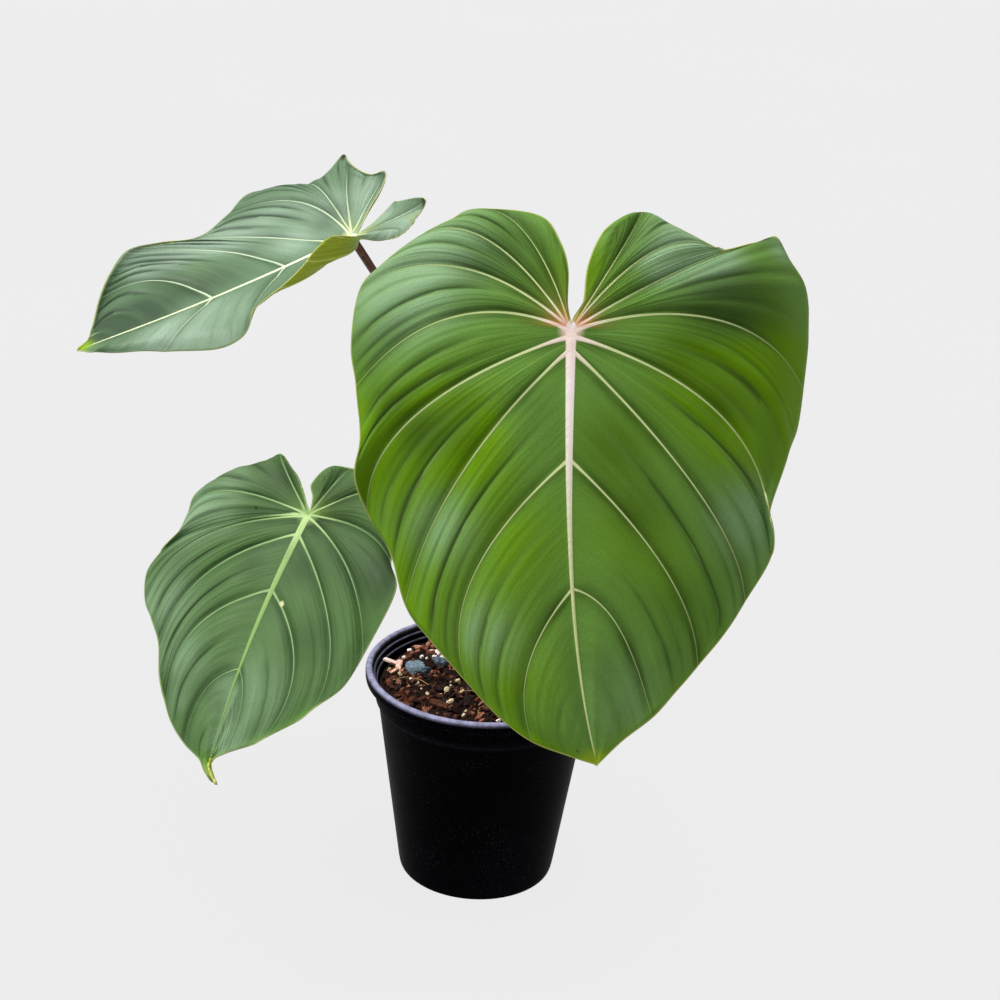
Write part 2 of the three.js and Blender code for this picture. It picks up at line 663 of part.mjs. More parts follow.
/** Adds one named piece to the plant. */
function addPiece(name, geometry, color, roughness) {
  const material = new THREE.MeshStandardMaterial({ color, roughness, metalness: 0, side: THREE.FrontSide });
  const mesh = new THREE.Mesh(geometry, material);
  mesh.name = name;
  plant.add(mesh);
}

const petioleRooms = LEAVES.map((leaf) => petioleSolid(leaf, CLEARANCE));
const rhizomeRoom = rhizomeSolid(CLEARANCE);

addPiece('pot', potGeometry(), 0x0d0d10, 0.45);

const loadedMix = mixPieces().reduce((mix, piece) => mix.add(piece), mixBody());
const cutMix = [rhizomeRoom, ...petioleRooms].reduce((mix, room) => mix.subtract(room), loadedMix);
addPiece('potting_mix', toGeometry(largestBody(cutMix)), 0x4a2c1e, 0.95);

const rhizome = petioleRooms.reduce((body, room) => body.subtract(room), rhizomeSolid(0));
addPiece('rhizome', toGeometry(largestBody(rhizome)), 0x5d5a35, 0.7);

LEAVES.forEach((leaf) => {
  addPiece(`petiole_${leaf.name}`, toGeometry(petioleSolid(leaf, 0)), 0x4a2a24, 0.55);
  addPiece(`blade_${leaf.name}`, bladeGeometry(leaf), leaf.colour, 0.6);
});

export default plant;
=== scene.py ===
"""Potted philodendron: velvety heart-shaped blades on petioles, a creeping rhizome, barky mix and a pot."""

import logging
import math
from dataclasses import dataclass, field
from enum import Enum
from typing import Any, Protocol

import bpy
import numpy as np
from mathutils import Euler, Matrix, Vector

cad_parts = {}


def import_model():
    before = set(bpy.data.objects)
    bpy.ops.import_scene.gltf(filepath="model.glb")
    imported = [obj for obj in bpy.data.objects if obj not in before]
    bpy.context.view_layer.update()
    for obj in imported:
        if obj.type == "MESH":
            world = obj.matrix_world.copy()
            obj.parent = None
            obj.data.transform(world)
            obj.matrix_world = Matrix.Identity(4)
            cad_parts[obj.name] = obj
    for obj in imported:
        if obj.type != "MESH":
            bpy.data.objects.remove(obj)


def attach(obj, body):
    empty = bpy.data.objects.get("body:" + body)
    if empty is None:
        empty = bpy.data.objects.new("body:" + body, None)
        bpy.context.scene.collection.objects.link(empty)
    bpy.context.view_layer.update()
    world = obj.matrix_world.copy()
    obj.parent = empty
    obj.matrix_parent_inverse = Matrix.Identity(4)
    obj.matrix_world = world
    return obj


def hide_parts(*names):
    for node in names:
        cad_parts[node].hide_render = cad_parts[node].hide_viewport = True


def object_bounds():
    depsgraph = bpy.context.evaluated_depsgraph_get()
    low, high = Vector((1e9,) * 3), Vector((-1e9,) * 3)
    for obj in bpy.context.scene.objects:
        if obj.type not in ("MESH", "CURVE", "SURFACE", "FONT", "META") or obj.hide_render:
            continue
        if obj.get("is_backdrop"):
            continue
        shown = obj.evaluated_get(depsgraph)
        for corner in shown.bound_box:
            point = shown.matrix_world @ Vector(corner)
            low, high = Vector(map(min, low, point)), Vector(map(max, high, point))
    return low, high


MM = 0.001
BODY = "root"

log = logging.getLogger("philodendron")

Row = tuple[float, ...]
Table = tuple[Row, ...]


class Side(Enum):
    """The two halves of a blade, seen from its upper face with the tip down."""

    LEFT = -1
    RIGHT = 1


# ---------------------------------------------------------------- curves and numbers


def through(rows: Table, places: np.ndarray) -> np.ndarray:
    """Smooth curve through rows of numbers.

    Args:
        rows: Each row is a knot followed by the values there.
        places: Where along the knots the curve is read.

    Returns:
        One row of values for each place.
    """
    table = np.array(rows, float)
    knots, values = table[:, 0], table[:, 1:]
    steps = np.diff(knots)
    slopes = np.diff(values, axis=0) / steps[:, None]
    inner = slopes[:-1] * steps[1:, None] + slopes[1:] * steps[:-1, None]
    inner = inner / (steps[1:] + steps[:-1])[:, None]
    tangents = np.vstack([slopes[:1], inner, slopes[-1:]])
    x = np.clip(places, knots[0], knots[-1])
    i = np.clip(np.searchsorted(knots, x, side="right") - 1, 0, len(knots) - 2)
    h = steps[i][:, None]
    t = ((x - knots[i]) / steps[i])[:, None]
    start = (2 * t**3 - 3 * t**2 + 1) * values[i]
    leave = (t**3 - 2 * t**2 + t) * h * tangents[i]
    end = (3 * t**2 - 2 * t**3) * values[i + 1]
    arrive = (t**3 - t**2) * h * tangents[i + 1]
    return start + leave + end + arrive


def smoothstep(low: float, high: float, x: np.ndarray) -> np.ndarray:
    """Soft step from 0 at low to 1 at high."""
    t = np.clip((x - low) / (high - low), 0, 1)
    return t * t * (3 - 2 * t)


def between(rows: Table, places: np.ndarray) -> np.ndarray:
    """Straight lines through rows of a knot and its value, read at places."""
    knots, values = zip(*rows)
    return np.interp(places, knots, values)


def hill(apart: np.ndarray, width: Any) -> np.ndarray:
    """Round hill: 1 at its middle, and 0.37 as far away as its width."""
    return np.exp(-((apart / width) ** 2))


def directions(points: np.ndarray) -> np.ndarray:
    """Unit directions along a line of points."""
    along = np.gradient(points, axis=0)
    return along / (np.linalg.norm(along, axis=1, keepdims=True) + 1e-9)


def rounded_route(points: Table, count: int) -> list[Vector]:
    """Even points along the smooth centripetal curve through a route.

    Args:
        points: The route's points.
        count: How many points to return.

    Returns:
        Points evenly spaced by length.
    """
    route = [Vector(p) for p in points]
    route = [2 * route[0] - route[1], *route, 2 * route[-1] - route[-2]]
    fine: list[Vector] = []
    pieces = 24
    for a, b, c, d in zip(route, route[1:], route[2:], route[3:]):
        t0 = 0.0
        t1 = t0 + math.sqrt((b - a).length)
        t2 = t1 + math.sqrt((c - b).length)
        t3 = t2 + math.sqrt((d - c).length)
        for step in range(pieces):
            t = t1 + (t2 - t1) * step / pieces
            ab = a.lerp(b, (t - t0) / (t1 - t0))
            bc = b.lerp(c, (t - t1) / (t2 - t1))
            cd = c.lerp(d, (t - t2) / (t3 - t2))
            abc = ab.lerp(bc, (t - t0) / (t2 - t0))
            bcd = bc.lerp(cd, (t - t1) / (t3 - t1))
            fine.append(abc.lerp(bcd, (t - t1) / (t2 - t1)))
    fine.append(route[-2])
    lengths = np.concatenate([[0], np.cumsum([(q - p).length for p, q in zip(fine, fine[1:])])])
    places = np.linspace(0, lengths[-1], count)
    axes = [np.interp(places, lengths, [p[k] for p in fine]) for k in range(3)]
    return [Vector(p) for p in zip(*axes)]


# ---------------------------------------------------------------- modelling by hand


def pick(*objects: bpy.types.Object) -> None:
    """Selects objects alone.

    Args:
        objects: The objects; the first one becomes the active one.
    """
    bpy.ops.object.select_all(action="DESELECT")
    for obj in objects:
        obj.select_set(True)
    bpy.context.view_layer.objects.active = objects[0]


def named(name: str) -> bpy.types.Object:
    """Names the active object.

    Args:
        name: The name for it and its mesh or curve.

    Returns:
        The active object.
    """
    obj = bpy.context.object
    obj.name = name
    obj.data.name = name
    return obj


def settle(obj: bpy.types.Object) -> bpy.types.Object:
    """Moves an object's place, turn and size into its mesh.

    Args:
        obj: The object.

    Returns:
        The same object.
    """
    pick(obj)
    bpy.ops.object.transform_apply(location=True, rotation=True, scale=True)
    return obj


def modify(obj: bpy.types.Object, kind: str, **settings: Any) -> None:
    """Adds a modifier with its settings and applies it.

    Args:
        obj: The piece.
        kind: Blender's name for the modifier.
        settings: The modifier's own settings.
    """
    pick(obj)
    modifier = obj.modifiers.new(kind.title(), kind)
    for key, value in settings.items():
        setattr(modifier, key, value)
    bpy.ops.object.modifier_apply(modifier=modifier.name)


def tidy(obj: bpy.types.Object, distance: float) -> None:
    """Merges a piece's doubled points and turns its faces outwards.

    Args:
        obj: The piece.
        distance: How near two points are merged, in metres.
    """
    pick(obj)
    bpy.ops.object.mode_set(mode="EDIT")
    bpy.ops.mesh.select_all(action="SELECT")
    bpy.ops.mesh.remove_doubles(threshold=distance)
    bpy.ops.mesh.normals_make_consistent(inside=False)
    bpy.ops.object.mode_set(mode="OBJECT")


def join(name: str, pieces: list[bpy.types.Object]) -> bpy.types.Object:
    """Joins pieces into the first one, under a new name.

    Args:
        name: The joined piece's name.
        pieces: The pieces.

    Returns:
        The joined piece.
    """
    pick(*pieces)
    if len(pieces) > 1:
        bpy.ops.object.join()
    return named(name)


def turned(name: str, profile: Table, segments: int, cap_rings: int = 0) -> bpy.types.Object:
    """Closed round body, drawn from a disc up and out through a profile, as on a lathe.

    Args:
        name: The piece's name.
        profile: Rows of radius and height in millimetres, from the first disc to the last.
        segments: Corners in the round.
        cap_rings: How many rings the last disc is inset into, with a point at its middle.

    Returns:
        The new piece, with the faces of the inset disc still selected.
    """
    radius, height = profile[0]
    bpy.ops.object.select_all(action="DESELECT")
    bpy.ops.mesh.primitive_circle_add(
        vertices=segments, radius=radius * MM, fill_type="NGON", location=(0, 0, height * MM)
    )
    obj = settle(named(name))
    bpy.ops.object.mode_set(mode="EDIT")
    bpy.ops.mesh.select_all(action="SELECT")
    for (r0, z0), (r1, z1) in zip(profile, profile[1:]):
        bpy.ops.mesh.extrude_region_move(TRANSFORM_OT_translate={"value": (0, 0, (z1 - z0) * MM)})
        bpy.ops.transform.resize(value=(r1 / r0, r1 / r0, 1))
    for _ in range(cap_rings):
        bpy.ops.mesh.inset(thickness=profile[-1][0] * MM / (cap_rings + 1))
    if cap_rings:
        bpy.ops.mesh.poke()
    bpy.ops.object.mode_set(mode="OBJECT")
    return obj


def round_section(corners: int) -> list[Row]:
    """Outline of a round section with a half width of 1."""
    turns = [2 * math.pi * k / corners for k in range(corners)]
    return [(math.cos(turn), math.sin(turn)) for turn in turns]


def drawn_stem(name: str, route: Table, radii: np.ndarray, corners: list[Row]) -> bpy.types.Object:
    """Closed stem drawn as a path with a section and turned into a mesh.

    Args:
        name: The piece's name.
        route: Points that its smooth centre line passes, in millimetres.
        radii: Half widths in millimetres, evenly spaced along the line.
        corners: The section's outline for a half width of 1.

    Returns:
        The new piece.
    """
    bpy.ops.object.select_all(action="DESELECT")
    bpy.ops.curve.primitive_bezier_circle_add(radius=1)
    section = named(f"{name}_section")
    section.data.splines.clear()
    outline = section.data.splines.new("POLY")
    outline.points.add(len(corners) - 1)
    outline.points.foreach_set("co", np.array([(x, y, 0, 1) for x, y in corners], float).ravel())
    outline.use_cyclic_u = True
    bpy.ops.curve.primitive_nurbs_path_add()
    stem = named(name)
    stem.location = (0, 0, 0)
    stem.data.splines.clear()
    spline = stem.data.splines.new("POLY")
    line = [p * MM for p in rounded_route(route, len(radii))]
    spline.points.add(len(line) - 1)
    spline.points.foreach_set("co", np.array([(*p, 1) for p in line], float).ravel())
    spline.points.foreach_set("radius", radii * MM)
    stem.data.twist_mode = "MINIMUM"
    stem.data.bevel_mode = "OBJECT"
    stem.data.bevel_object = section
    stem.data.use_fill_caps = True
    pick(stem)
    bpy.ops.object.convert(target="MESH")
    stem = bpy.context.object
    bpy.data.objects.remove(section)
    tidy(stem, 1e-6)
    pick(stem)
    bpy.ops.object.shade_smooth_by_angle(angle=math.radians(50))
    return stem


def mark(obj: bpy.types.Object, name: str, values: np.ndarray) -> None:
    """Stores one number for each point of a piece, for its material to read."""
    layer = obj.data.attributes.new(name, "FLOAT", "POINT")
    layer.data.foreach_set("value", np.ascontiguousarray(values, np.float32).ravel())


def points_of(obj: bpy.types.Object) -> np.ndarray:
    """Reads a piece's points.

    Args:
        obj: The piece.

    Returns:
        Rows of x, y and z in metres.
    """
    flat = np.empty(len(obj.data.vertices) * 3)
    obj.data.vertices.foreach_get("co", flat)
    return flat.reshape(-1, 3)


def move_points(obj: bpy.types.Object, points: np.ndarray) -> None:
    """Puts a piece's points at new places."""
    obj.data.vertices.foreach_set("co", np.ascontiguousarray(points).ravel())
    obj.data.update()


def show(obj: bpy.types.Object, slot: str, *nodes: str) -> None:
    """Fixes a finished piece to the plant's body and reports it.

    Args:
        obj: The piece.
        slot: The slot of its finish; not used.
        nodes: The nodes of the solid plant that it stands for.
    """
    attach(obj, BODY)
    if nodes:
        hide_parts(*nodes)
    triangles = sum(len(polygon.vertices) - 2 for polygon in obj.data.polygons)
    log.info("%s: %d triangles", obj.name, triangles)


# ---------------------------------------------------------------- finishes


class Finish(Protocol):
    """Look of one real material."""

    def build(self) -> bpy.types.Material:
        """Makes the material."""


def coat(obj: bpy.types.Object, *finishes: Finish) -> None:
    """Gives a piece its finishes, each made anew, in the order of their places on it."""
    for finish in finishes:
        obj.data.materials.append(finish.build())


def linear(hex_colour: str) -> tuple[float, float, float, float]:
    """Turns a colour to linear light.

    Args:
        hex_colour: An sRGB hex value such as #3f7a26.

    Returns:
        Its linear red, green and blue, and 1 for opaque.
    """
    values = [int(hex_colour[i : i + 2], 16) / 255 for i in (1, 3, 5)]
    red, green, blue = [v / 12.92 if v <= 0.04045 else ((v + 0.055) / 1.055) ** 2.4 for v in values]
    return (red, green, blue, 1.0)


def add(
    tree: bpy.types.NodeTree,
    kind: str,
    inputs: dict[int | str, Any] | None = None,
    out: int | str = 0,
    **settings: Any,
) -> bpy.types.NodeSocket:
    """Adds a shader node.

    Args:
        tree: The material's node tree.
        kind: Blender's name for the node, without its prefix.
        inputs: For each socket, the value it holds or the output it is linked from.
        out: The output that is wanted.
        settings: The node's own settings.

    Returns:
        The wanted output.
    """
    node = tree.nodes.new(f"ShaderNode{kind}")
    for key, value in settings.items():
        setattr(node, key, value)
    for key, value in (inputs or {}).items():
        if isinstance(value, bpy.types.NodeSocket):
            tree.links.new(value, node.inputs[key])
        else:
            node.inputs[key].default_value = value
    return node.outputs[out]


def started(name: str, **sockets: Any) -> tuple[bpy.types.Material, bpy.types.NodeTree, bpy.types.Node]:
    """A new material with its shader's own values set.

    Args:
        name: The material's name.
        sockets: Values by socket name, with _ for each space.

    Returns:
        The material, its node tree and its shader.
    """
    material = bpy.data.materials.new(name)
    material.use_nodes = True
    shader = material.node_tree.nodes["Principled BSDF"]
    for key, value in sockets.items():
        shader.inputs[key.replace("_", " ")].default_value = value
    return material, material.node_tree, shader


# The numbers that a blade stores at its points for its skins, and the tints that a skin lays by them.
SKIN_MARKS = (
    "phase", "share", "vein", "midrib", "down", "edge_mm", "heart_mm", "heart", "blush", "tip_mm",
    "glow", "painted_sheen", "painted_shade", "painted_ridge_light", "painted_crease_shade", "dry", "scar",
)
SKIN_TINTS = (
    "shade", "mid", "glow", "painted_sheen", "vein", "midrib", "midrib_end", "blush", "heart", "margin",
    "tip", "star", "dry", "scar",
)


@dataclass(frozen=True)
class VelvetSkin:
    """Upper skin of a blade, a living leaf with a velvety surface of tiny domed cells.

    The eye gets greens with painted shade in the grooves and painted light on the ridges between them, a
    painted yellower green where light comes through, a painted grey sheen, a faint sheen, and pale veins
    that fade to the margin. Deep is the ground, mid lies on the ridges as painted light and on the streaks,
    shade is the dark green of the painted shade in the creases and dark patches and of the cells, and heart
    and star lie around the junction. The other tints have the names of what they colour.
    """

    name: str
    shade: str
    deep: str
    mid: str
    glow: str
    painted_sheen: str
    vein: str
    midrib: str
    midrib_end: str
    blush: str
    heart: str
    margin: str
    tip: str
    star: str = "#e0bfae"
    dry: str = "#2b2a1c"
    scar: str = "#d9d3a0"
    roughness: float = 0.52
    specular: float = 0.25
    sheen: float = 0.08
    flush: float = 0.0
    vein_fade: float = 0.75

    def build(self) -> bpy.types.Material:
        """Makes the material from the marks stored on the blade.

        Returns:
            The material.
        """
        material, tree, shader = started(
            self.name,
            IOR=1.42,
            Specular_IOR_Level=self.specular,
            Sheen_Weight=self.sheen,
            Sheen_Roughness=0.45,
            Sheen_Tint=linear("#d8e6cf"),
        )
        marks = {key: add(tree, "Attribute", out="Fac", attribute_name=key) for key in SKIN_MARKS}
        place = add(tree, "TexCoord", out="Object")
        # Streaks run out beside the veins, nine or so between two of them.
        across = add(tree, "Math", {0: marks["phase"], 1: 9.0}, operation="MULTIPLY")
        along = add(tree, "Math", {0: marks["share"], 1: 2.2}, operation="MULTIPLY")
        grain_at = add(tree, "CombineXYZ", {0: across, 1: along})
        streaks = add(
            tree, "TexNoise", {"Vector": grain_at, "Scale": 1.0, "Detail": 6.0, "Roughness": 0.66}
        )
        # Clouding over the blade is about 30 mm across.
        clouds = add(tree, "TexNoise", {"Vector": place, "Scale": 33.0, "Detail": 3.0})
        # The cells of the skin are far finer; at 0.8 mm they still show.
        cells = add(tree, "TexNoise", {"Vector": place, "Scale": 1250.0, "Detail": 2.0})
        # The share is negative on the left half, so that the streaks differ there.
        outward = add(tree, "Math", {0: marks["share"]}, operation="ABSOLUTE")
        shares = {}
        for key, source, none_at, full_at, most in (
            ("streaks", streaks, 0.36, 0.7, 0.55),
            ("clouds", clouds, 0.38, 0.66, 0.35),
            ("cells", cells, 0.42, 0.7, 0.16),
            ("painted_ridge_light", marks["painted_ridge_light"], 0.25, 0.95, 0.85),
            ("glow", marks["glow"], 0.0, 1.0, 1.0),
            ("painted_sheen", marks["painted_sheen"], 0.0, 1.0, 1.0),
            ("painted_shade", marks["painted_shade"], 0.0, 1.0, 0.7),
            ("painted_crease_shade", marks["painted_crease_shade"], 0.0, 1.0, 0.9),
            ("vein", marks["vein"], 1.4, 0.6, 1.0),
            ("halo", marks["vein"], 4.2, 0.9, 0.32),
            ("midrib", marks["midrib"], 1.15, 0.85, 1.0),
            ("down", marks["down"], 0.1, 0.7, 1.0),
            ("fade", outward, 0.25, 1.0, self.vein_fade),
            ("blush", marks["blush"], 0.0, 1.0, 0.95),
            ("heart", marks["heart"], 0.0, 1.0, 0.9),
            ("flush", marks["heart"], 0.2, 0.9, self.flush),
            ("star", marks["heart_mm"], 9.5, 3.0, 0.85),
            ("margin", marks["edge_mm"], 1.1, 0.4, 0.8),
            ("tip", marks["tip_mm"], 15.0, 3.0, 0.95),
            ("dry", marks["dry"], 0.2, 0.8, 0.95),
            ("scar", marks["scar"], 0.3, 0.8, 0.95),
        ):
            inputs = {"Value": source, "From Min": none_at, "From Max": full_at, "To Max": most}
            shares[key] = add(tree, "MapRange", inputs, interpolation_type="SMOOTHSTEP")
        kept = add(tree, "Math", {0: 1.0, 1: shares["fade"]}, operation="SUBTRACT")
        uneven = add(tree, "Math", {0: streaks, 1: 1.3, 2: 0.35}, operation="MULTIPLY_ADD")
        for key, factor in (("vein", kept), ("glow", uneven), ("painted_sheen", uneven)):
            inputs = {0: shares[key], 1: factor}
            shares[key] = add(tree, "Math", inputs, operation="MULTIPLY", use_clamp=True)
        # The veins and the midrib take on a blush by the junction, and the midrib darkens down the blade.
        colours = {key: linear(getattr(self, key)) for key in SKIN_TINTS}
        for key, share, over in (
            ("vein", "blush", "blush"),
            ("midrib", "down", "midrib_end"),
            ("midrib", "blush", "blush"),
        ):
            inputs = {0: shares[share], 6: colours[key], 7: colours[over]}
            colours[key] = add(tree, "Mix", inputs, out=2, data_type="RGBA")
        # Painted shade darkens the grooves, creases and dark patches, painted light lightens the ridges,
        # the glow paints light that comes through, and the grey sheen is painted.
        colour: Any = linear(self.deep)
        for share, over in (
            ("painted_ridge_light", "mid"),
            ("clouds", "mid"),
            ("streaks", "mid"),
            ("glow", "glow"),
            ("painted_sheen", "painted_sheen"),
            ("painted_shade", "shade"),
            ("cells", "shade"),
            ("halo", "mid"),
            ("painted_crease_shade", "shade"),
            ("star", "star"),
            ("heart", "heart"),
            ("vein", "vein"),
            ("flush", "heart"),
            ("midrib", "midrib"),
            ("tip", "tip"),
            ("margin", "margin"),
            ("scar", "scar"),
            ("dry", "dry"),
        ):
            inputs = {0: shares[share], 6: colour, 7: colours[over]}
            colour = add(tree, "Mix", inputs, out=2, data_type="RGBA")
        rough = add(
            tree, "Math", {0: streaks, 1: 0.2, 2: self.roughness - 0.1}, operation="MULTIPLY_ADD"
        )
        skin = add(tree, "Bump", {"Strength": 0.4, "Distance": 0.00015, "Height": cells})
        grain = add(tree, "Bump", {"Strength": 0.6, "Distance": 0.0011, "Height": streaks, "Normal": skin})
        for key, value in (("Base Color", colour), ("Roughness", rough), ("Normal", grain)):
            tree.links.new(value, shader.inputs[key])
        return material


@dataclass(frozen=True)
class LeafUnderside:
    """Under skin of a blade: smoother, paler and duller than the top, with veins that stand out pale."""

    name: str
    ground: str
    light: str
    vein: str
    roughness: float = 0.55

    def build(self) -> bpy.types.Material:
        """Makes the material from the marks stored on the blade.

        Returns:
            The material.
        """
        material, tree, shader = started(
            self.name, Roughness=self.roughness, IOR=1.42, Specular_IOR_Level=0.4
        )
        phase, share, vein, midrib = (
            add(tree, "Attribute", out="Fac", attribute_name=key)
            for key in ("phase", "share", "vein", "midrib")
        )
        # Streaks run out beside the veins, twelve or so between two of them.
        across = add(tree, "Math", {0: phase, 1: 12.0}, operation="MULTIPLY")
        grain_at = add(tree, "CombineXYZ", {0: across, 1: share})
        streaks = add(tree, "TexNoise", {"Vector": grain_at, "Scale": 1.0, "Detail": 4.0})
        colour: Any = linear(self.ground)
        for source, none_at, full_at, most, over in (
            (streaks, 0.35, 0.7, 0.8, self.light),
            (vein, 2.2, 0.8, 0.85, self.vein),
            (midrib, 1.4, 0.8, 0.85, self.vein),
        ):
            inputs = {"Value": source, "From Min": none_at, "From Max": full_at, "To Max": most}
            factor = add(tree, "MapRange", inputs, interpolation_type="SMOOTHSTEP")
            colour = add(tree, "Mix", {0: factor, 6: colour, 7: linear(over)}, out=2, data_type="RGBA")
        bump = add(tree, "Bump", {"Strength": 0.5, "Distance": 0.0005, "Height": streaks})
        tree.links.new(colour, shader.inputs["Base Color"])
        tree.links.new(bump, shader.inputs["Normal"])
        return material


@dataclass(frozen=True)
class StemSkin:
    """Skin of a stem, a root or a fibre: satin, with fine streaks along it and small pale pores.

    The streaks' pattern is scaled along x, y and z, and the small number draws them out that way.
    """

    name: str
    ground: str
    streak: str
    pore: str
    roughness: float = 0.42
    stretch: Row = (1.0, 1.0, 0.12)

    def build(self) -> bpy.types.Material:
        """Makes the material on the piece's own place.

        Returns:
            The material.
        """
        material, tree, shader = started(self.name, Roughness=self.roughness, IOR=1.45)
        place = add(tree, "TexCoord", out="Object")
        along = add(tree, "Mapping", {"Vector": place, "Scale": self.stretch})
        # Streaks are about 1.2 mm wide, blotches 8 mm, and pores 0.5 mm, a few millimetres apart.
        streaks = add(tree, "TexNoise", {"Vector": along, "Scale": 800.0, "Detail": 3.0})
        blotches = add(tree, "TexNoise", {"Vector": place, "Scale": 120.0, "Detail": 4.0})
        pores = add(tree, "TexVoronoi", {"Vector": place, "Scale": 420.0}, out="Distance")
        colour: Any = linear(self.ground)
        for source, none_at, full_at, most, over in (
            (streaks, 0.45, 0.75, 0.7, self.streak),
            (blotches, 0.5, 0.75, 0.45, self.streak),
            (pores, 0.16, 0.05, 0.6, self.pore),
        ):
            inputs = {"Value": source, "From Min": none_at, "From Max": full_at, "To Max": most}
            factor = add(tree, "MapRange", inputs)
            colour = add(tree, "Mix", {0: factor, 6: colour, 7: linear(over)}, out=2, data_type="RGBA")
        bump = add(tree, "Bump", {"Strength": 0.5, "Distance": 0.0003, "Height": streaks})
        tree.links.new(colour, shader.inputs["Base Color"])
        tree.links.new(bump, shader.inputs["Normal"])
        return material


@dataclass(frozen=True)
class MixedMatter:
    """Loose matter such as bark, peat or perlite: rough and dry, each bit in its own tone.

    A tone row is a place from 0 to 1 and the colour there.
    """

    name: str
    tones: tuple[tuple[float, str], ...]
    grain_mm: float
    roughness: float = 0.9
    relief_mm: float = 0.3

    def build(self) -> bpy.types.Material:
        """Makes the material from each bit's tone and a grain of real size.

        Returns:
            The material.
        """
        material, tree, shader = started(
            self.name, Roughness=self.roughness, IOR=1.45, Specular_IOR_Level=0.15
        )
        tone = add(tree, "Attribute", out="Fac", attribute_name="tone")
        place = add(tree, "TexCoord", out="Object")
        fineness = 1 / (self.grain_mm * MM)
        grain = add(tree, "TexNoise", {"Vector": place, "Scale": fineness, "Detail": 5.0, "Roughness": 0.7})
        shifted = add(tree, "Math", {0: grain, 1: 0.7, 2: -0.35}, operation="MULTIPLY_ADD")
        mixed = add(tree, "Math", {0: tone, 1: shifted}, operation="ADD")
        colour = add(tree, "ValToRGB", {0: mixed})
        stops = colour.node.color_ramp.elements
        stops[0].position, stops[0].color = self.tones[0][0], linear(self.tones[0][1])
        stops[1].position, stops[1].color = self.tones[-1][0], linear(self.tones[-1][1])
        for position, tint in self.tones[1:-1]:
            stops.new(position).color = linear(tint)
        bump = add(tree, "Bump", {"Strength": 0.9, "Distance": self.relief_mm * MM, "Height": grain})
        tree.links.new(colour, shader.inputs["Base Color"])
        tree.links.new(bump, shader.inputs["Normal"])
        return material


@dataclass(frozen=True)
class MouldedPolypropylene:
    """Black polypropylene, thin and injection moulded: satin and dusty, with a painted pale highlight at
    its lip and steps.
    """

    name: str
    ground: str
    dust: str
    painted_highlight: str
    roughness: float = 0.4
    specular: float = 0.005

    def build(self) -> bpy.types.Material:
        """Makes the material with dust specks, a water film and a painted highlight at the edges.

        Returns:
            The material.
        """
        material, tree, shader = started(self.name, IOR=1.49, Specular_IOR_Level=self.specular)
        place = add(tree, "TexCoord", out="Object")
        painted_lip_highlight = add(tree, "Attribute", out="Fac", attribute_name="painted_lip_highlight")
        # Specks of dried mix are about 0.5 mm wide, in loose clouds about 30 mm across.
        specks = add(tree, "TexVoronoi", {"Vector": place, "Scale": 520.0}, out="Distance")
        clouds = add(tree, "TexNoise", {"Vector": place, "Scale": 30.0, "Detail": 3.0})
        # A film of dried water is left in patches about 80 mm across.
        film = add(tree, "TexNoise", {"Vector": place, "Scale": 12.0, "Detail": 6.0})
        # The painted highlight breaks up in marks about 5 mm long, and the moulded wall ripples every 17
        # mm.
        highlight_breakup = add(tree, "TexNoise", {"Vector": place, "Scale": 220.0, "Detail": 4.0})
        ripple = add(tree, "TexNoise", {"Vector": place, "Scale": 60.0, "Detail": 2.0})
        shares = []
        for source, low, high, start, end in (
            (specks, 0.06, 0.2, 0.16, 0.0),
            (clouds, 0.4, 0.62, 0.15, 1.0),
            (film, 0.42, 0.75, 0.0, 0.006),
            (highlight_breakup, 0.3, 0.65, 0.5, 1.0),
        ):
            inputs = {"Value": source, "From Min": low, "From Max": high, "To Min": start, "To Max": end}
            shares.append(add(tree, "MapRange", inputs))
        specked = add(tree, "Math", {0: shares[0], 1: shares[1]}, operation="MULTIPLY")
        # Painted highlight: a pale lavender band on the lip's crest and thin lines on the steps inside,
        # broken up.
        painted_highlight = add(tree, "Math", {0: painted_lip_highlight, 1: shares[3]}, operation="MULTIPLY")
        colour: Any = linear(self.ground)
        for share, over in ((shares[2], self.dust), (specked, self.dust), (painted_highlight, self.painted_highlight)):
            colour = add(tree, "Mix", {0: share, 6: colour, 7: linear(over)}, out=2, data_type="RGBA")
        rough = add(tree, "Math", {0: film, 1: 0.3, 2: self.roughness - 0.12}, operation="MULTIPLY_ADD")
        bump = add(tree, "Bump", {"Strength": 0.25, "Distance": 0.0004, "Height": ripple})
        for key, value in (("Base Color", colour), ("Roughness", rough), ("Normal", bump)):
            tree.links.new(value, shader.inputs[key])
        return material


# ---------------------------------------------------------------- blades


@dataclass(frozen=True)
class HalfBlade:
    """One half of a blade, flat, in units of the blade's length.

    The primary veins are numbered from the sinus to the tip. A margin row is a vein number, its end's
    place to the right and towards the lobes, and the curl of the edge in radians. An arch row is the
    vein number and the point that the vein bends towards. A crease row is the vein before it, its place
    towards the next vein, its strength and the share of the way out at which it begins. A rim glow row is
    the vein number and how much painted yellow-green light, where light comes through, lies along the edge
    there. The half folds up at the midrib and droops outwards, in degrees, and its edge curls from a share
    of the way out.
    """

    side: Side
    fold: float
    droop: float
    curl_from: float
    margin: Table
    arch: Table
    creases: Table
    rim_glow: Table = ((0, 0), (9, 0))


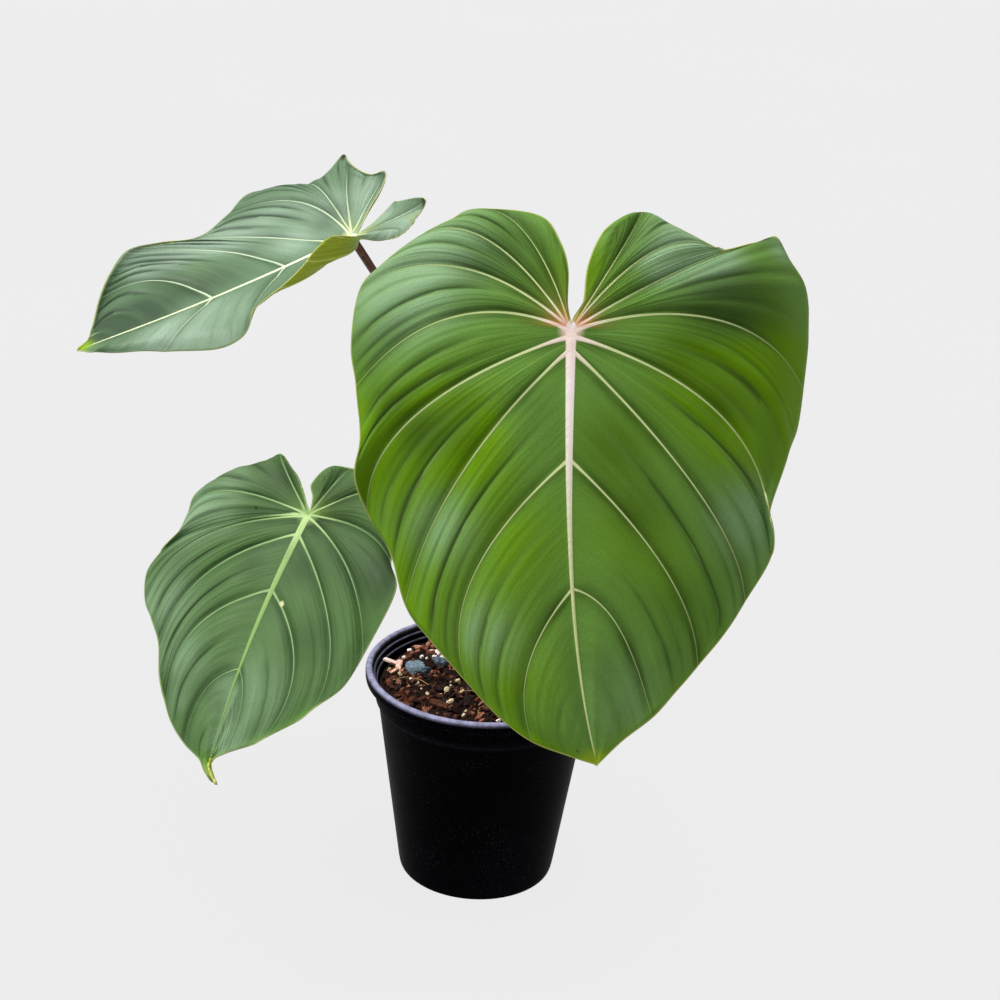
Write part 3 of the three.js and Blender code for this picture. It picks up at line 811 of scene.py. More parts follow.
@dataclass
class Blade:
    """A heart-shaped blade: a quilted sheet that hangs from the top of its petiole.

    The junction with the petiole is in millimetres, and so is the blade's length from there to its tip.
    The blade heads and slopes down in degrees, banks to one side, and bends towards its tip and its
    lobes. Its midrib sways and its very tip hooks sideways, in units of the length. A start row is a
    vein number and how far down the midrib it starts. The midrib and vein rows give their half widths
    in millimetres along them, and a weight row widens or thins a vein. The pleat is how high the pillows
    between the veins rise, in millimetres. A glow, sheen or shade row is a patch of painted light green
    where light comes through, of painted grey sheen or of painted shade in dark green: its place to the
    right and towards the lobes, its radius and its strength. A dry or scar row is a spot's place and its
    radius in millimetres. Pillows and creases are at their full height and depth where two veins are at
    least their interval apart, in millimetres.
    """

    name: str
    junction: Row
    length: float
    heading: float
    slope: float
    bank: float
    tip_bend: float
    lobe_bend: float
    sway: float
    hook: float
    pleat: float
    starts: Table
    left: HalfBlade
    right: HalfBlade
    midrib_half: Table
    vein_half: Table
    glow: Table
    painted_sheen: Table
    upper: VelvetSkin
    under: LeafUnderside
    slot: str
    seed: int = 1
    vein_weight: Table = ((0, 1), (9, 1))
    painted_shade: Table = ()
    dry: Table = ()
    scar: Table = ()
    # How strong the painted shade in the creases is.
    painted_groove_shade: float = 1.0
    tip_flat: float = 0.0
    groove_depth: float = 1.1
    groove_reach: float = 9.0
    crease_depth: float = 1.8
    crease_reach: float = 8.0
    bead_height: float = 0.35
    midrib_height: float = 0.55
    pillow_interval: float = 30.0
    crease_interval: float = 24.0
    crease_wander: float = 0.035
    vein_shade_reach: float = 4.5
    valley_reach: float = 4.0
    rim_glow_reach: float = 5.5
    heart_reach: float = 13.0
    rows: int = 46
    columns: int = 50
    thickness: float = 0.6
    rib_depth: float = 2.3
    rib_width: float = 3.2
    vein_depth: float = 0.7
    vein_width: float = 1.4

    def axes(self) -> tuple[np.ndarray, np.ndarray, np.ndarray]:
        """Finds how the blade lies.

        Returns:
            Directions to the right and back along the blade, and out of its upper face.
        """
        heading, slope, bank = (math.radians(a) for a in (self.heading, self.slope, self.bank))
        ahead = np.array([math.cos(heading), math.sin(heading), 0])
        up = np.array([0, 0, 1.0])
        back = -ahead * math.cos(slope) + up * math.sin(slope)
        level = ahead * math.sin(slope) + up * math.cos(slope)
        across = np.cross(back, level)
        right = across * math.cos(bank) + level * math.sin(bank)
        out = level * math.cos(bank) - across * math.sin(bank)
        return right, back, out

    def surface(
        self, half: HalfBlade, phase: np.ndarray, share: np.ndarray, relief: Any = 0.0
    ) -> tuple[np.ndarray, np.ndarray, np.ndarray]:
        """Points of half the upper face.

        Args:
            half: The half blade.
            phase: Vein numbers, one for each row.
            share: Shares of the way from midrib to margin, one for each column.
            relief: Height over the smooth face in millimetres.

        Returns:
            The points in millimetres, and their flat places to the right and towards the lobes.
        """
        length, side = self.length, half.side.value
        start = between(self.starts, phase)[:, None]
        edge = through(half.margin, phase)
        arch = through(half.arch, phase)
        # Each vein bows out from its start past its arch point to the margin, where its end curls.
        turn = np.where(np.abs(edge[:, 2:3]) < 1e-3, 1e-3, edge[:, 2:3])
        span = 1 - half.curl_from
        outer = np.maximum(0, share - half.curl_from)[None, :]
        curled = half.curl_from + np.sin(turn * outer / span) * span / turn
        t = np.where(share[None, :] < half.curl_from, share[None, :], curled)
        u = 2 * t * (1 - t) * arch[:, 0:1] + t * t * edge[:, 0:1]
        v = -((1 - t) ** 2) * start + 2 * t * (1 - t) * arch[:, 1:2] + t * t * edge[:, 1:2]
        reach = np.hypot(edge[:, 0:1], edge[:, 1:2] + start)
        lift = (1 - np.cos(turn * outer / span)) * span * reach * length / turn + relief
        # Across, the half folds and droops about the midrib.
        fold = math.radians(half.fold)
        droop = math.radians(half.droop or 0.01) / (0.5 * length)
        angle = fold + droop * u * side * length
        sideways = (np.sin(angle) - math.sin(fold)) / droop - np.sin(angle) * lift
        raised = (math.cos(fold) - np.cos(angle)) / droop + np.cos(angle) * lift
        down = np.maximum(0, -v)
        # The hook takes the last 8 hundredths of the midrib.
        hook = self.hook * np.maximum(0, (down - 0.92) / 0.08) ** 2
        x = sideways * side + length * (self.sway * down**3 + hook)
        # Along, it bends towards the tip and the lobes.
        bend = np.radians(np.where(v < 0, self.tip_bend, self.lobe_bend)) / length
        arc = bend * v * length
        y = np.sin(arc) / bend + np.sin(arc) * raised
        z = (np.cos(arc) - 1) / bend + np.cos(arc) * raised
        right, back, out = self.axes()
        points = np.array(self.junction) + x[..., None] * right + y[..., None] * back + z[..., None] * out
        return points, u, v

    def vein_gap(
        self, half: HalfBlade, phase: np.ndarray, share: np.ndarray
    ) -> tuple[np.ndarray, np.ndarray]:
        """Distance to the nearest primary vein.

        Args:
            half: The half blade.
            phase: Vein numbers, one for each row, up to that of the tip.
            share: Shares of the way from midrib to margin, one for each column.

        Returns:
            The distance in millimetres, and the width of one vein interval there.
        """
        last, step = int(phase[-1]), 0.02
        widths = []
        for vein in range(1, last):
            near, _, _ = self.surface(half, np.array([vein - step, vein, vein + step]), share)
            across = (near[2] - near[0]) / (2 * step)
            along = directions(near[1])
            across -= np.sum(across * along, axis=1, keepdims=True) * along
            widths.append(np.linalg.norm(across, axis=1))
        nearest = np.clip(np.round(phase), 1, last - 1).astype(int)
        width = np.array(widths)[nearest - 1]
        return np.abs(phase - nearest)[:, None] * width, width

    def edge_gap(self, half: HalfBlade, phase: np.ndarray, share: np.ndarray) -> np.ndarray:
        """Distance to the margin in millimetres.

        Args:
            half: The half blade.
            phase: Vein numbers, one for each row.
            share: Shares of the way from midrib to margin, one for each column.

        Returns:
            The distance, by row and column.
        """
        inside = 0.97
        rim, _, _ = self.surface(half, phase, np.array([inside, 1.0]))
        inward = (rim[:, 1] - rim[:, 0]) / (1 - inside)
        slant = np.linalg.norm(np.cross(inward, directions(rim[:, 1])), axis=1)
        return (1 - share[None, :]) * slant[:, None]

    def relief(
        self, half: HalfBlade, phase: np.ndarray, share: np.ndarray, gap: np.ndarray, width: np.ndarray
    ) -> tuple[np.ndarray, np.ndarray, np.ndarray, np.ndarray]:
        """Height of the quilted face over the smooth one, and the painted shade in its creases and painted
        light on its ridges.

        Args:
            half: The half blade.
            phase: Vein numbers, one for each row.
            share: Shares of the way from midrib to margin, one for each column.
            gap: Distance to the nearest primary vein in millimetres.
            width: Width of a vein interval in millimetres.

        Returns:
            The height in millimetres, the painted crease shade share and the painted ridge light share,
            both from
            0 to 1, and how far the fine vein of the nearest crease is, in half widths.
        """
        whole = np.minimum(np.floor(phase), phase[-1] - 1)[:, None]
        part = phase[:, None] - whole
        column = share[None, :]
        # A pillow rises between two veins and dies away at the midrib and the margin.
        inner = smoothstep(-0.02, 0.3, column) * (1 - smoothstep(0.75, 1.02, column))
        inner = inner * np.clip(width / self.pillow_interval, 0, 1)
        outer = 1 - smoothstep(0.93, 1.0, column)
        flat = 1 - self.tip_flat * smoothstep(phase[-1] - 1, phase[-1] - 0.6, phase)[:, None]
        height = self.pleat * 4 * part * (1 - part) * inner * flat
        # The face sinks to each vein, and painted shade lies on the side before a vein.
        groove = np.clip(1 - gap / self.groove_reach, 0, 1) ** 2
        height = height - self.groove_depth * groove * smoothstep(0.02, 0.15, column) * outer
        before = (part > 0.5) * smoothstep(0.03, 0.3, column)
        line = 0.35 * np.exp(-gap / self.vein_shade_reach) * before
        # Painted shade lies in the valleys by the veins and creases, and painted light on the ridges
        # between them.
        valley = np.exp(-gap / self.valley_reach)
        far_mm, far_widths = 99.0, 9.0
        seam = np.full_like(height, far_widths)
        for vein, place, strength, start in half.creases:
            wander = self.crease_wander * np.sin(3.3 * column + 2.1 * vein + 5 * place + self.seed)
            apart = np.where(whole == vein, (part - place - wander) * width, far_mm)
            reach = strength * smoothstep(start - 0.15, start + 0.3, column)
            reach = reach * np.clip(width / self.crease_interval, 0.2, 1)
            dip = np.clip(1 - np.sqrt(apart**2 + 0.06) / self.crease_reach, 0, 1) ** 2
            height = height - self.crease_depth * reach * outer * dip
            # Painted shade lies on the side before a crease, and a faint pale vein runs along it.
            above = np.exp(-np.abs(apart) / 3.4) * (apart < 0)
            thin = 0.55 * above + 0.25 * hill(apart + 1.0, 0.8)
            seam = np.minimum(seam, 1.05 + 0.55 * np.abs(apart) + 1.2 * (1 - reach))
            line = np.maximum(line, reach * thin * (1 - 0.6 * smoothstep(0.85, 1.0, column)))
            valley = np.maximum(valley, 0.9 * reach * np.exp(-np.abs(apart) / 3.2))
        # Fine waves run beside the veins, and a slow one lies over the whole face.
        waves = ((7, 0.0, 0.10), (11, 1.0, 0.09), (17, 2.0, 0.05))
        fine = sum(size * np.cos(2 * np.pi * count * phase + lag) for count, lag, size in waves)
        height = height + fine[:, None] * smoothstep(0.05, 0.3, column) * outer
        bead = hill(gap, between(self.vein_half, share)[None, :])
        height = height + self.bead_height * bead * smoothstep(0.0, 0.06, column) * outer
        slow = 0.7 * np.sin(3.1 * phase + 0.8 * self.seed)[:, None] * np.sin(np.pi * column) ** 2 * flat
        return (height + slow) * smoothstep(0.0, 0.4, phase)[:, None], line, 1 - valley, seam

    def patches(self, rows: Table, u: np.ndarray, v: np.ndarray) -> np.ndarray:
        """Strengths of soft patches at flat places, added up."""
        return sum((most * hill(np.hypot(u - x, v - y), radius) for x, y, radius, most in rows), 0 * u)

    def stains(self, rows: Table, u: np.ndarray, v: np.ndarray) -> np.ndarray:
        """Strengths of spots at flat places.

        Args:
            rows: Each spot's place to the right and towards the lobes, and its radius in millimetres.
            u: How far to the right the places are.
            v: How far towards the lobes they are.

        Returns:
            The strength of the strongest spot at each place.
        """
        found = np.zeros_like(u)
        for x, y, radius in rows:
            found = np.maximum(found, hill(np.hypot(u - x, v - y) * self.length, radius))
        return found

    def half_face(
        self, half: HalfBlade, phase: np.ndarray, share: np.ndarray
    ) -> tuple[np.ndarray, dict[str, np.ndarray]]:
        """Half the upper face, with what it stores for its depth and its materials.

        Args:
            half: The half blade.
            phase: Vein numbers, one for each row.
            share: Shares of the way from midrib to margin, one for each column.

        Returns:
            The points in millimetres, and one number for each of them under each mark's name.
        """
        gap, width = self.vein_gap(half, phase, share)
        relief, painted_crease_shade, painted_ridge_light, seam = self.relief(half, phase, share, gap, width)
        place, u, v = self.surface(half, phase, share, relief)
        row, column = phase[:, None], share[None, :]
        down = np.maximum(0, -v)
        from_heart = np.hypot(u, v) * self.length
        # The midrib's bead fades out at the junction and at the tip.
        rib_mm = np.where(v < 0, np.abs(u) * self.length, 1.7 * from_heart)
        rib_half = through(self.midrib_half, down.ravel()).reshape(down.shape)
        bead = self.midrib_height * hill(rib_mm, rib_half) * (1 - smoothstep(0.85, 1.0, down))
        bead = bead * smoothstep(0.0, 0.03, down)
        place = place + bead[..., None] * self.axes()[2]
        # Painted light where light comes through and painted grey sheen are weaker in the grooves, and the
        # painted sheen is strongest just past each vein.
        edge_mm = self.edge_gap(half, phase, share)
        glow = self.patches(self.glow, u, v) * (0.6 + 0.5 * painted_ridge_light)
        glow = glow + between(half.rim_glow, phase)[:, None] * np.exp(-edge_mm / self.rim_glow_reach)
        past_vein = hill(row - np.floor(row) - 0.16, 0.14)
        painted_sheen = self.patches(self.painted_sheen, u, v) * (0.6 + 0.5 * painted_ridge_light + 0.2 * past_vein)
        # The sheet is thick along the midrib and the veins, less so towards the tip and the margin.
        taper = np.clip((phase[-1] - row) / (phase[-1] - 4), 0.15, 1)
        taper = taper * smoothstep(1.0, 5.0, down * self.length)
        depth = self.thickness + self.rib_depth * hill(rib_mm, self.rib_width) * taper
        stout = (1 - column) * smoothstep(3.0, 9.0, from_heart)
        depth = depth + self.vein_depth * hill(gap, self.vein_width) * stout
        vein_half = between(self.vein_half, share)[None, :] * between(self.vein_weight, phase)[:, None]
        return place, {
            "phase": np.broadcast_to(row, u.shape),
            "share": np.broadcast_to(column, u.shape) * half.side.value,
            "vein": np.minimum(gap / vein_half, seam),
            "midrib": np.where(v < 0, np.abs(u), np.hypot(u, 0.5 * v)) * self.length / rib_half,
            "down": down,
            "edge_mm": edge_mm,
            "heart_mm": from_heart,
            "heart": smoothstep(0.0, 0.012, v) * np.exp(-from_heart / self.heart_reach),
            "blush": smoothstep(34.0, 6.0, from_heart) * smoothstep(1.0, 2.6, row),
            "tip_mm": np.hypot(u, v + 1) * self.length,
            "glow": np.clip(glow, 0, 1),
            "painted_sheen": np.clip(painted_sheen, 0, 1),
            "painted_shade": np.clip(self.patches(self.painted_shade, u, v), 0, 1),
            "painted_ridge_light": painted_ridge_light,
            "painted_crease_shade": np.clip(painted_crease_shade * self.painted_groove_shade, 0, 1),
            "dry": self.stains(self.dry, u, v),
            "scar": self.stains(self.scar, u, v),
            "depth": depth,
        }

    def upper_face(self) -> bpy.types.Object:
        """Models the upper face as one sheet and stores its marks.

        Returns:
            The sheet.
        """
        last = int(self.starts[-1][0])
        steps = np.arange(self.rows) / self.rows
        # Rows lie closer by the veins, and columns by the midrib.
        eased = steps - 0.35 * np.sin(2 * np.pi * steps) / (2 * np.pi)
        phase = np.concatenate([(np.arange(last)[:, None] + eased).ravel(), [last]])
        share = np.linspace(0, 1, self.columns) ** 1.35
        corner = np.arange(len(phase) * len(share)).reshape(len(phase), len(share))
        points: list[np.ndarray] = []
        faces: list[np.ndarray] = []
        marks: dict[str, list[np.ndarray]] = {}
        for half in (self.right, self.left):
            place, values = self.half_face(half, phase, share)
            points.append(place.reshape(-1, 3))
            for key, value in values.items():
                marks.setdefault(key, []).append(value.ravel())
            a, b = corner[:-1, :-1].ravel(), corner[:-1, 1:].ravel()
            c, d = corner[1:, 1:].ravel(), corner[1:, :-1].ravel()
            faces.append(np.stack((a, d, c, b) if half.side is Side.RIGHT else (a, b, c, d), axis=1))
            corner = corner + corner.size
        mesh = bpy.data.meshes.new(f"blade_{self.name}")
        mesh.from_pydata((np.concatenate(points) * MM).tolist(), [], np.concatenate(faces).tolist())
        sheet = bpy.data.objects.new(f"leaf_blade_{self.name}", mesh)
        bpy.context.scene.collection.objects.link(sheet)
        for key, value in marks.items():
            mark(sheet, key, np.concatenate(value))
        pick(sheet)
        bpy.ops.object.mode_set(mode="EDIT")
        bpy.ops.mesh.select_all(action="SELECT")
        bpy.ops.mesh.remove_doubles(threshold=1e-6)
        bpy.ops.object.mode_set(mode="OBJECT")
        bpy.ops.object.shade_smooth()
        return sheet

    def build(self) -> bpy.types.Object:
        """Models the blade as a sheet that is thicker along its veins.

        Returns:
            The blade, with its finishes.
        """
        obj = self.upper_face()
        depths = np.empty(len(obj.data.vertices), np.float32)
        obj.data.attributes["depth"].data.foreach_get("value", depths)
        deepest = self.thickness + self.rib_depth + self.vein_depth
        group = obj.vertex_groups.new(name="depth")
        for index, value in enumerate(np.clip(depths / deepest, 0, 1).tolist()):
            group.add([index], value, "REPLACE")
        coat(obj, self.upper, self.under, MARGIN_BAND)
        modify(
            obj,
            "SOLIDIFY",
            thickness=deepest * MM,
            offset=-1,
            vertex_group="depth",
            use_rim=True,
            material_offset=1,
            material_offset_rim=2,
        )
        obj.vertex_groups.clear()
        return obj

    def dress(self, box: tuple[Row, Row]) -> None:
        """Builds the blade and puts it in place of its solid.

        Args:
            box: Lowest and highest corner of the solid plant; edge points, under 1 mm out, are drawn
                into it.
        """
        obj = self.build()
        move_points(obj, np.clip(points_of(obj), *box))
        show(obj, self.slot, f"blade_{self.name}")


# The margin is a thin pale band, yellow green and smooth.
MARGIN_BAND = StemSkin(
    "leaf_margin_band", "#a9b45f", "#c9a98c", "#d8d0a0", roughness=0.5, stretch=(1.0, 1.0, 1.0)
)

# A full grown blade in bright light: deep green, painted yellow where light comes through, with a pale pink
# midrib.
FRONT_SKIN = VelvetSkin(
    name="velvet_leaf_green",
    shade="#122206",
    deep="#314a12",
    mid="#628a3a",
    glow="#5e8700",
    painted_sheen="#86a57c",
    vein="#c8d396",
    midrib="#ecdfda",
    midrib_end="#c6cf8f",
    blush="#e9d3c8",
    heart="#c8743a",
    flush=0.75,
    margin="#a9ad5c",
    tip="#8aa422",
    specular=0.08,
    sheen=0.03,
)
# A blade seen at a low angle: grey green painted in for the sky it reflects at that angle, with a painted
# grey sheen and cream veins.
SAGE_SKIN = VelvetSkin(
    name="velvet_leaf_sage",
    shade="#182a18",
    deep="#3a5435",
    mid="#607c5a",
    glow="#6d8a2a",
    painted_sheen="#8fa68f",
    vein="#b7c6a6",
    midrib="#e3e6cf",
    midrib_end="#d6dfb4",
    blush="#d5dcae",
    heart="#9fae5c",
    margin="#8c9e72",
    tip="#7fa40a",
    star="#b9c489",
    roughness=0.46,
    specular=0.2,
    sheen=0.08,
    vein_fade=0.85,
)
# A blade in shade: a copy of the sage skin painted darker for the shade, with green veins that stand out
# less.
SHADED_SAGE_SKIN = VelvetSkin(
    name="velvet_leaf_sage_painted_shade",
    shade="#122208",
    deep="#2f4a24",
    mid="#52703f",
    glow="#557f2a",
    painted_sheen="#7a9672",
    vein="#8aaa70",
    midrib="#8fac69",
    midrib_end="#7fa158",
    blush="#b3cd8a",
    heart="#6f8a3c",
    margin="#93ab68",
    tip="#8fa653",
    star="#7d9b5b",
    specular=0.15,
    sheen=0.05,
    vein_fade=0.8,
)
# Undersides are matt: one a dull mid green, the other an olive lit through from above.
GREEN_UNDERSIDE = LeafUnderside("leaf_underside_green", "#5c7a3e", "#7d9455", "#c3cc8f")
OLIVE_UNDERSIDE = LeafUnderside("leaf_underside_olive", "#8b9a1e", "#a5b332", "#c9cc7a")

FRONT_BLADE = Blade(
    name="front",
    junction=(41.9, -12, 376.8),
    length=262.7,
    heading=-87,
    slope=60,
    bank=0,
    tip_bend=22,
    lobe_bend=35,
    sway=0.094,
    hook=0,
    pleat=2.8,
    starts=((0, 0), (4, 0), (5, 0.012), (6, 0.038), (7, 0.292), (8, 0.585), (9, 1)),
    left=HalfBlade(
        side=Side.LEFT,
        fold=0,
        droop=-22,
        curl_from=0.5,
        margin=(
            (0, 0, 0.02, 0), (0.15, -0.008, 0.062, 0.05), (0.3, -0.008, 0.14, 0.1),
            (0.5, -0.029, 0.213, 0), (0.75, -0.076, 0.277, -0.2), (1, -0.203, 0.304, -0.35),
            (1.5, -0.291, 0.276, -0.3), (2, -0.371, 0.233, -0.25), (2.5, -0.454, 0.178, -0.3),
            (3, -0.514, 0.115, -0.3), (3.5, -0.524, -0.029, -0.2), (4, -0.512, -0.132, -0.25),
            (4.45, -0.481, -0.261, 0.05), (4.7, -0.49, -0.34, 0.1), (5, -0.483, -0.436, -0.25),
            (5.5, -0.424, -0.526, -0.15), (6, -0.397, -0.651, -0.15), (6.5, -0.338, -0.721, 0),
            (7, -0.266, -0.824, -0.1), (7.5, -0.204, -0.894, 0), (8, -0.136, -0.947, 0.1),
            (8.5, -0.06, -0.98, 0), (9, 0, -1, 0),
        ),
        arch=(
            (0, 0, 0.01), (1, -0.082, 0.261), (2, -0.205, 0.307), (3, -0.261, 0.237), (4, -0.283, 0.12),
            (5, -0.46, -0.176), (6, -0.283, -0.312), (7, -0.316, -0.577), (8, -0.168, -0.779), (9, 0, -1),
        ),
        creases=(
            (0, 0.55, 0.5, 0.45), (1, 0.45, 0.9, 0.3), (1, 0.8, 0.5, 0.5), (2, 0.5, 0.9, 0.35),
            (3, 0.22, 0.4, 0.5), (3, 0.47, 1, 0.3), (3, 0.76, 0.5, 0.5), (4, 0.36, 1, 0.35),
            (4, 0.68, 1, 0.2), (5, 0.36, 0.6, 0.35), (5, 0.62, 1, 0.25), (6, 0.25, 0.5, 0.45),
            (6, 0.5, 1, 0.15), (6, 0.76, 0.5, 0.45), (7, 0.35, 0.8, 0.3), (7, 0.66, 0.7, 0.3),
            (8, 0.5, 0.4, 0.3),
        ),
        rim_glow=((0, 0.1), (1, 0.1), (3, 0), (4, 0.4), (4.5, 0.9), (9, 0.9)),
    ),
    right=HalfBlade(
        side=Side.RIGHT,
        fold=0,
        droop=-26,
        curl_from=0.5,
        margin=(
            (0, 0, 0.02, 0), (0.15, 0.025, 0.063, 0.05), (0.3, 0.033, 0.141, 0.1), (0.5, 0.063, 0.224, 0),
            (0.75, 0.117, 0.28, -0.15), (1, 0.163, 0.299, -0.2), (1.5, 0.242, 0.273, -0.15),
            (2, 0.342, 0.233, -0.1), (2.5, 0.365, 0.234, -0.15), (3, 0.417, 0.249, -0.2),
            (3.2, 0.5, 0.291, -0.3), (3.4, 0.564, 0.324, -0.35), (3.55, 0.6, 0.271, -0.35),
            (3.7, 0.658, 0.198, -0.35), (3.82, 0.662, 0.094, -0.33), (4, 0.634, -0.095, -0.3),
            (4.5, 0.562, -0.264, -0.15), (4.85, 0.48, -0.4, 0.1), (5.15, 0.487, -0.455, 0.1),
            (5.5, 0.507, -0.521, -0.15), (6, 0.429, -0.624, -0.15), (6.5, 0.342, -0.704, 0),
            (7, 0.283, -0.771, -0.1), (7.5, 0.216, -0.826, 0), (8, 0.15, -0.883, 0.1),
            (8.5, 0.069, -0.942, 0), (9, 0, -1, 0),
        ),
        arch=(
            (0, 0, 0.01), (0.25, 0.153, 0.295), (0.5, 0.171, 0.311), (1, 0.182, 0.303), (2, 0.186, 0.26),
            (3, 0.142, 0.098), (4, 0.392, 0.139), (5, 0.487, -0.141), (6, 0.41, -0.414),
            (7, 0.303, -0.56), (8, 0.126, -0.614), (9, 0, -1),
        ),
        creases=(
            (0, 0.5, 0.5, 0.45), (1, 0.5, 0.7, 0.35), (2, 0.5, 0.5, 0.4), (3, 0.3, 0.7, 0.35),
            (3, 0.6, 0.8, 0.3), (3, 0.82, 0.4, 0.5), (4, 0.3, 0.6, 0.4), (4, 0.55, 0.9, 0.3),
            (4, 0.8, 0.5, 0.45), (5, 0.14, 0.4, 0.5), (5, 0.42, 1, 0.2), (5, 0.75, 0.6, 0.5),
            (6, 0.22, 0.5, 0.45), (6, 0.47, 1, 0.15), (6, 0.72, 0.4, 0.5), (7, 0.3, 0.5, 0.4),
            (7, 0.55, 0.7, 0.3), (8, 0.5, 0.4, 0.35),
        ),
        rim_glow=(
            (0, 0.25), (1, 0.1), (3, 0.1), (3.5, 0.8), (4.6, 0.9), (5.2, 0.3), (6.5, 0.3), (8, 0.9),
            (9, 1),
        ),
    ),
    midrib_half=((0, 3.1), (0.1, 2.7), (0.28, 2.1), (0.5, 1.25), (0.75, 0.8), (1, 0.35)),
    vein_half=((0, 1.6), (0.06, 1.0), (0.15, 0.7), (0.4, 0.5), (0.7, 0.38), (1, 0.25)),
    vein_weight=(
        (0, 0.4), (1, 0.45), (2, 0.65), (3, 0.9), (5, 0.95), (6, 0.85), (7, 0.7), (8, 0.55), (9, 0.5),
    ),
    # Painted light green where light comes through, painted grey sheen and patches of painted shade.
    glow=(
        (-0.42, -0.3, 0.15, 1.0), (-0.3, -0.19, 0.12, 0.7), (-0.22, -0.27, 0.09, 0.9),
        (-0.15, -0.08, 0.1, 0.3), (0.56, -0.10, 0.14, 1.0), (0.48, -0.2, 0.15, 1.0),
        (0.36, -0.14, 0.14, 0.8), (0.25, -0.06, 0.1, 0.5), (0.15, -0.45, 0.12, 0.5),
        (0.1, -0.25, 0.1, 0.5), (-0.13, -0.47, 0.14, 0.6), (-0.32, -0.60, 0.16, 0.6),
        (-0.2, -0.7, 0.1, 0.6), (0.25, -0.6, 0.12, 0.4), (-0.04, 0.12, 0.08, 0.4),
        (0.07, 0.14, 0.08, 0.5), (-0.12, -0.8, 0.14, 0.5), (0.5, 0.1, 0.1, 0.3), (-0.24, -0.8, 0.08, 0.6),
    ),
    painted_sheen=(
        (-0.42, 0.12, 0.15, 0.9), (-0.28, 0.22, 0.14, 0.45), (0.26, 0.24, 0.08, 0.6),
        (0.1, -0.85, 0.14, 0.3), (0.43, -0.42, 0.11, 0.6), (-0.29, -0.46, 0.1, 0.5),
        (-0.2, -0.7, 0.1, 0.5), (0.56, 0.3, 0.06, 0.7), (0.31, 0.22, 0.09, 0.9), (0.2, 0.16, 0.06, 0.6),
        (0.35, 0.26, 0.08, 0.7),
    ),
    painted_shade=(
        (-0.42, -0.02, 0.08, 0.4), (-0.335, -0.24, 0.08, 0.8), (-0.43, -0.34, 0.08, 0.4),
        (-0.22, -0.27, 0.06, 0.3), (0.1, -0.26, 0.12, 0.55), (0.28, 0.08, 0.11, 0.4),
        (0.45, 0.1, 0.12, 0.7), (0.24, -0.06, 0.1, 0.35), (0.26, -0.62, 0.08, 0.4),
        (0.16, -0.42, 0.08, 0.4), (-0.1, -0.16, 0.06, 0.3), (-0.44, -0.16, 0.06, 0.5),
        (-0.14, 0.2, 0.06, 0.3), (-0.06, 0.12, 0.08, 0.4), (-0.25, 0.12, 0.08, 0.25),
        (-0.24, -0.16, 0.07, 0.45), (0.36, -0.16, 0.07, 0.5), (0.36, 0.07, 0.07, 0.4),
        (0.03, -0.76, 0.07, 0.35), (-0.19, 0.17, 0.08, 0.4),
    ),
    upper=FRONT_SKIN,
    under=GREEN_UNDERSIDE,
    slot="leaf_green",
    seed=2,
)

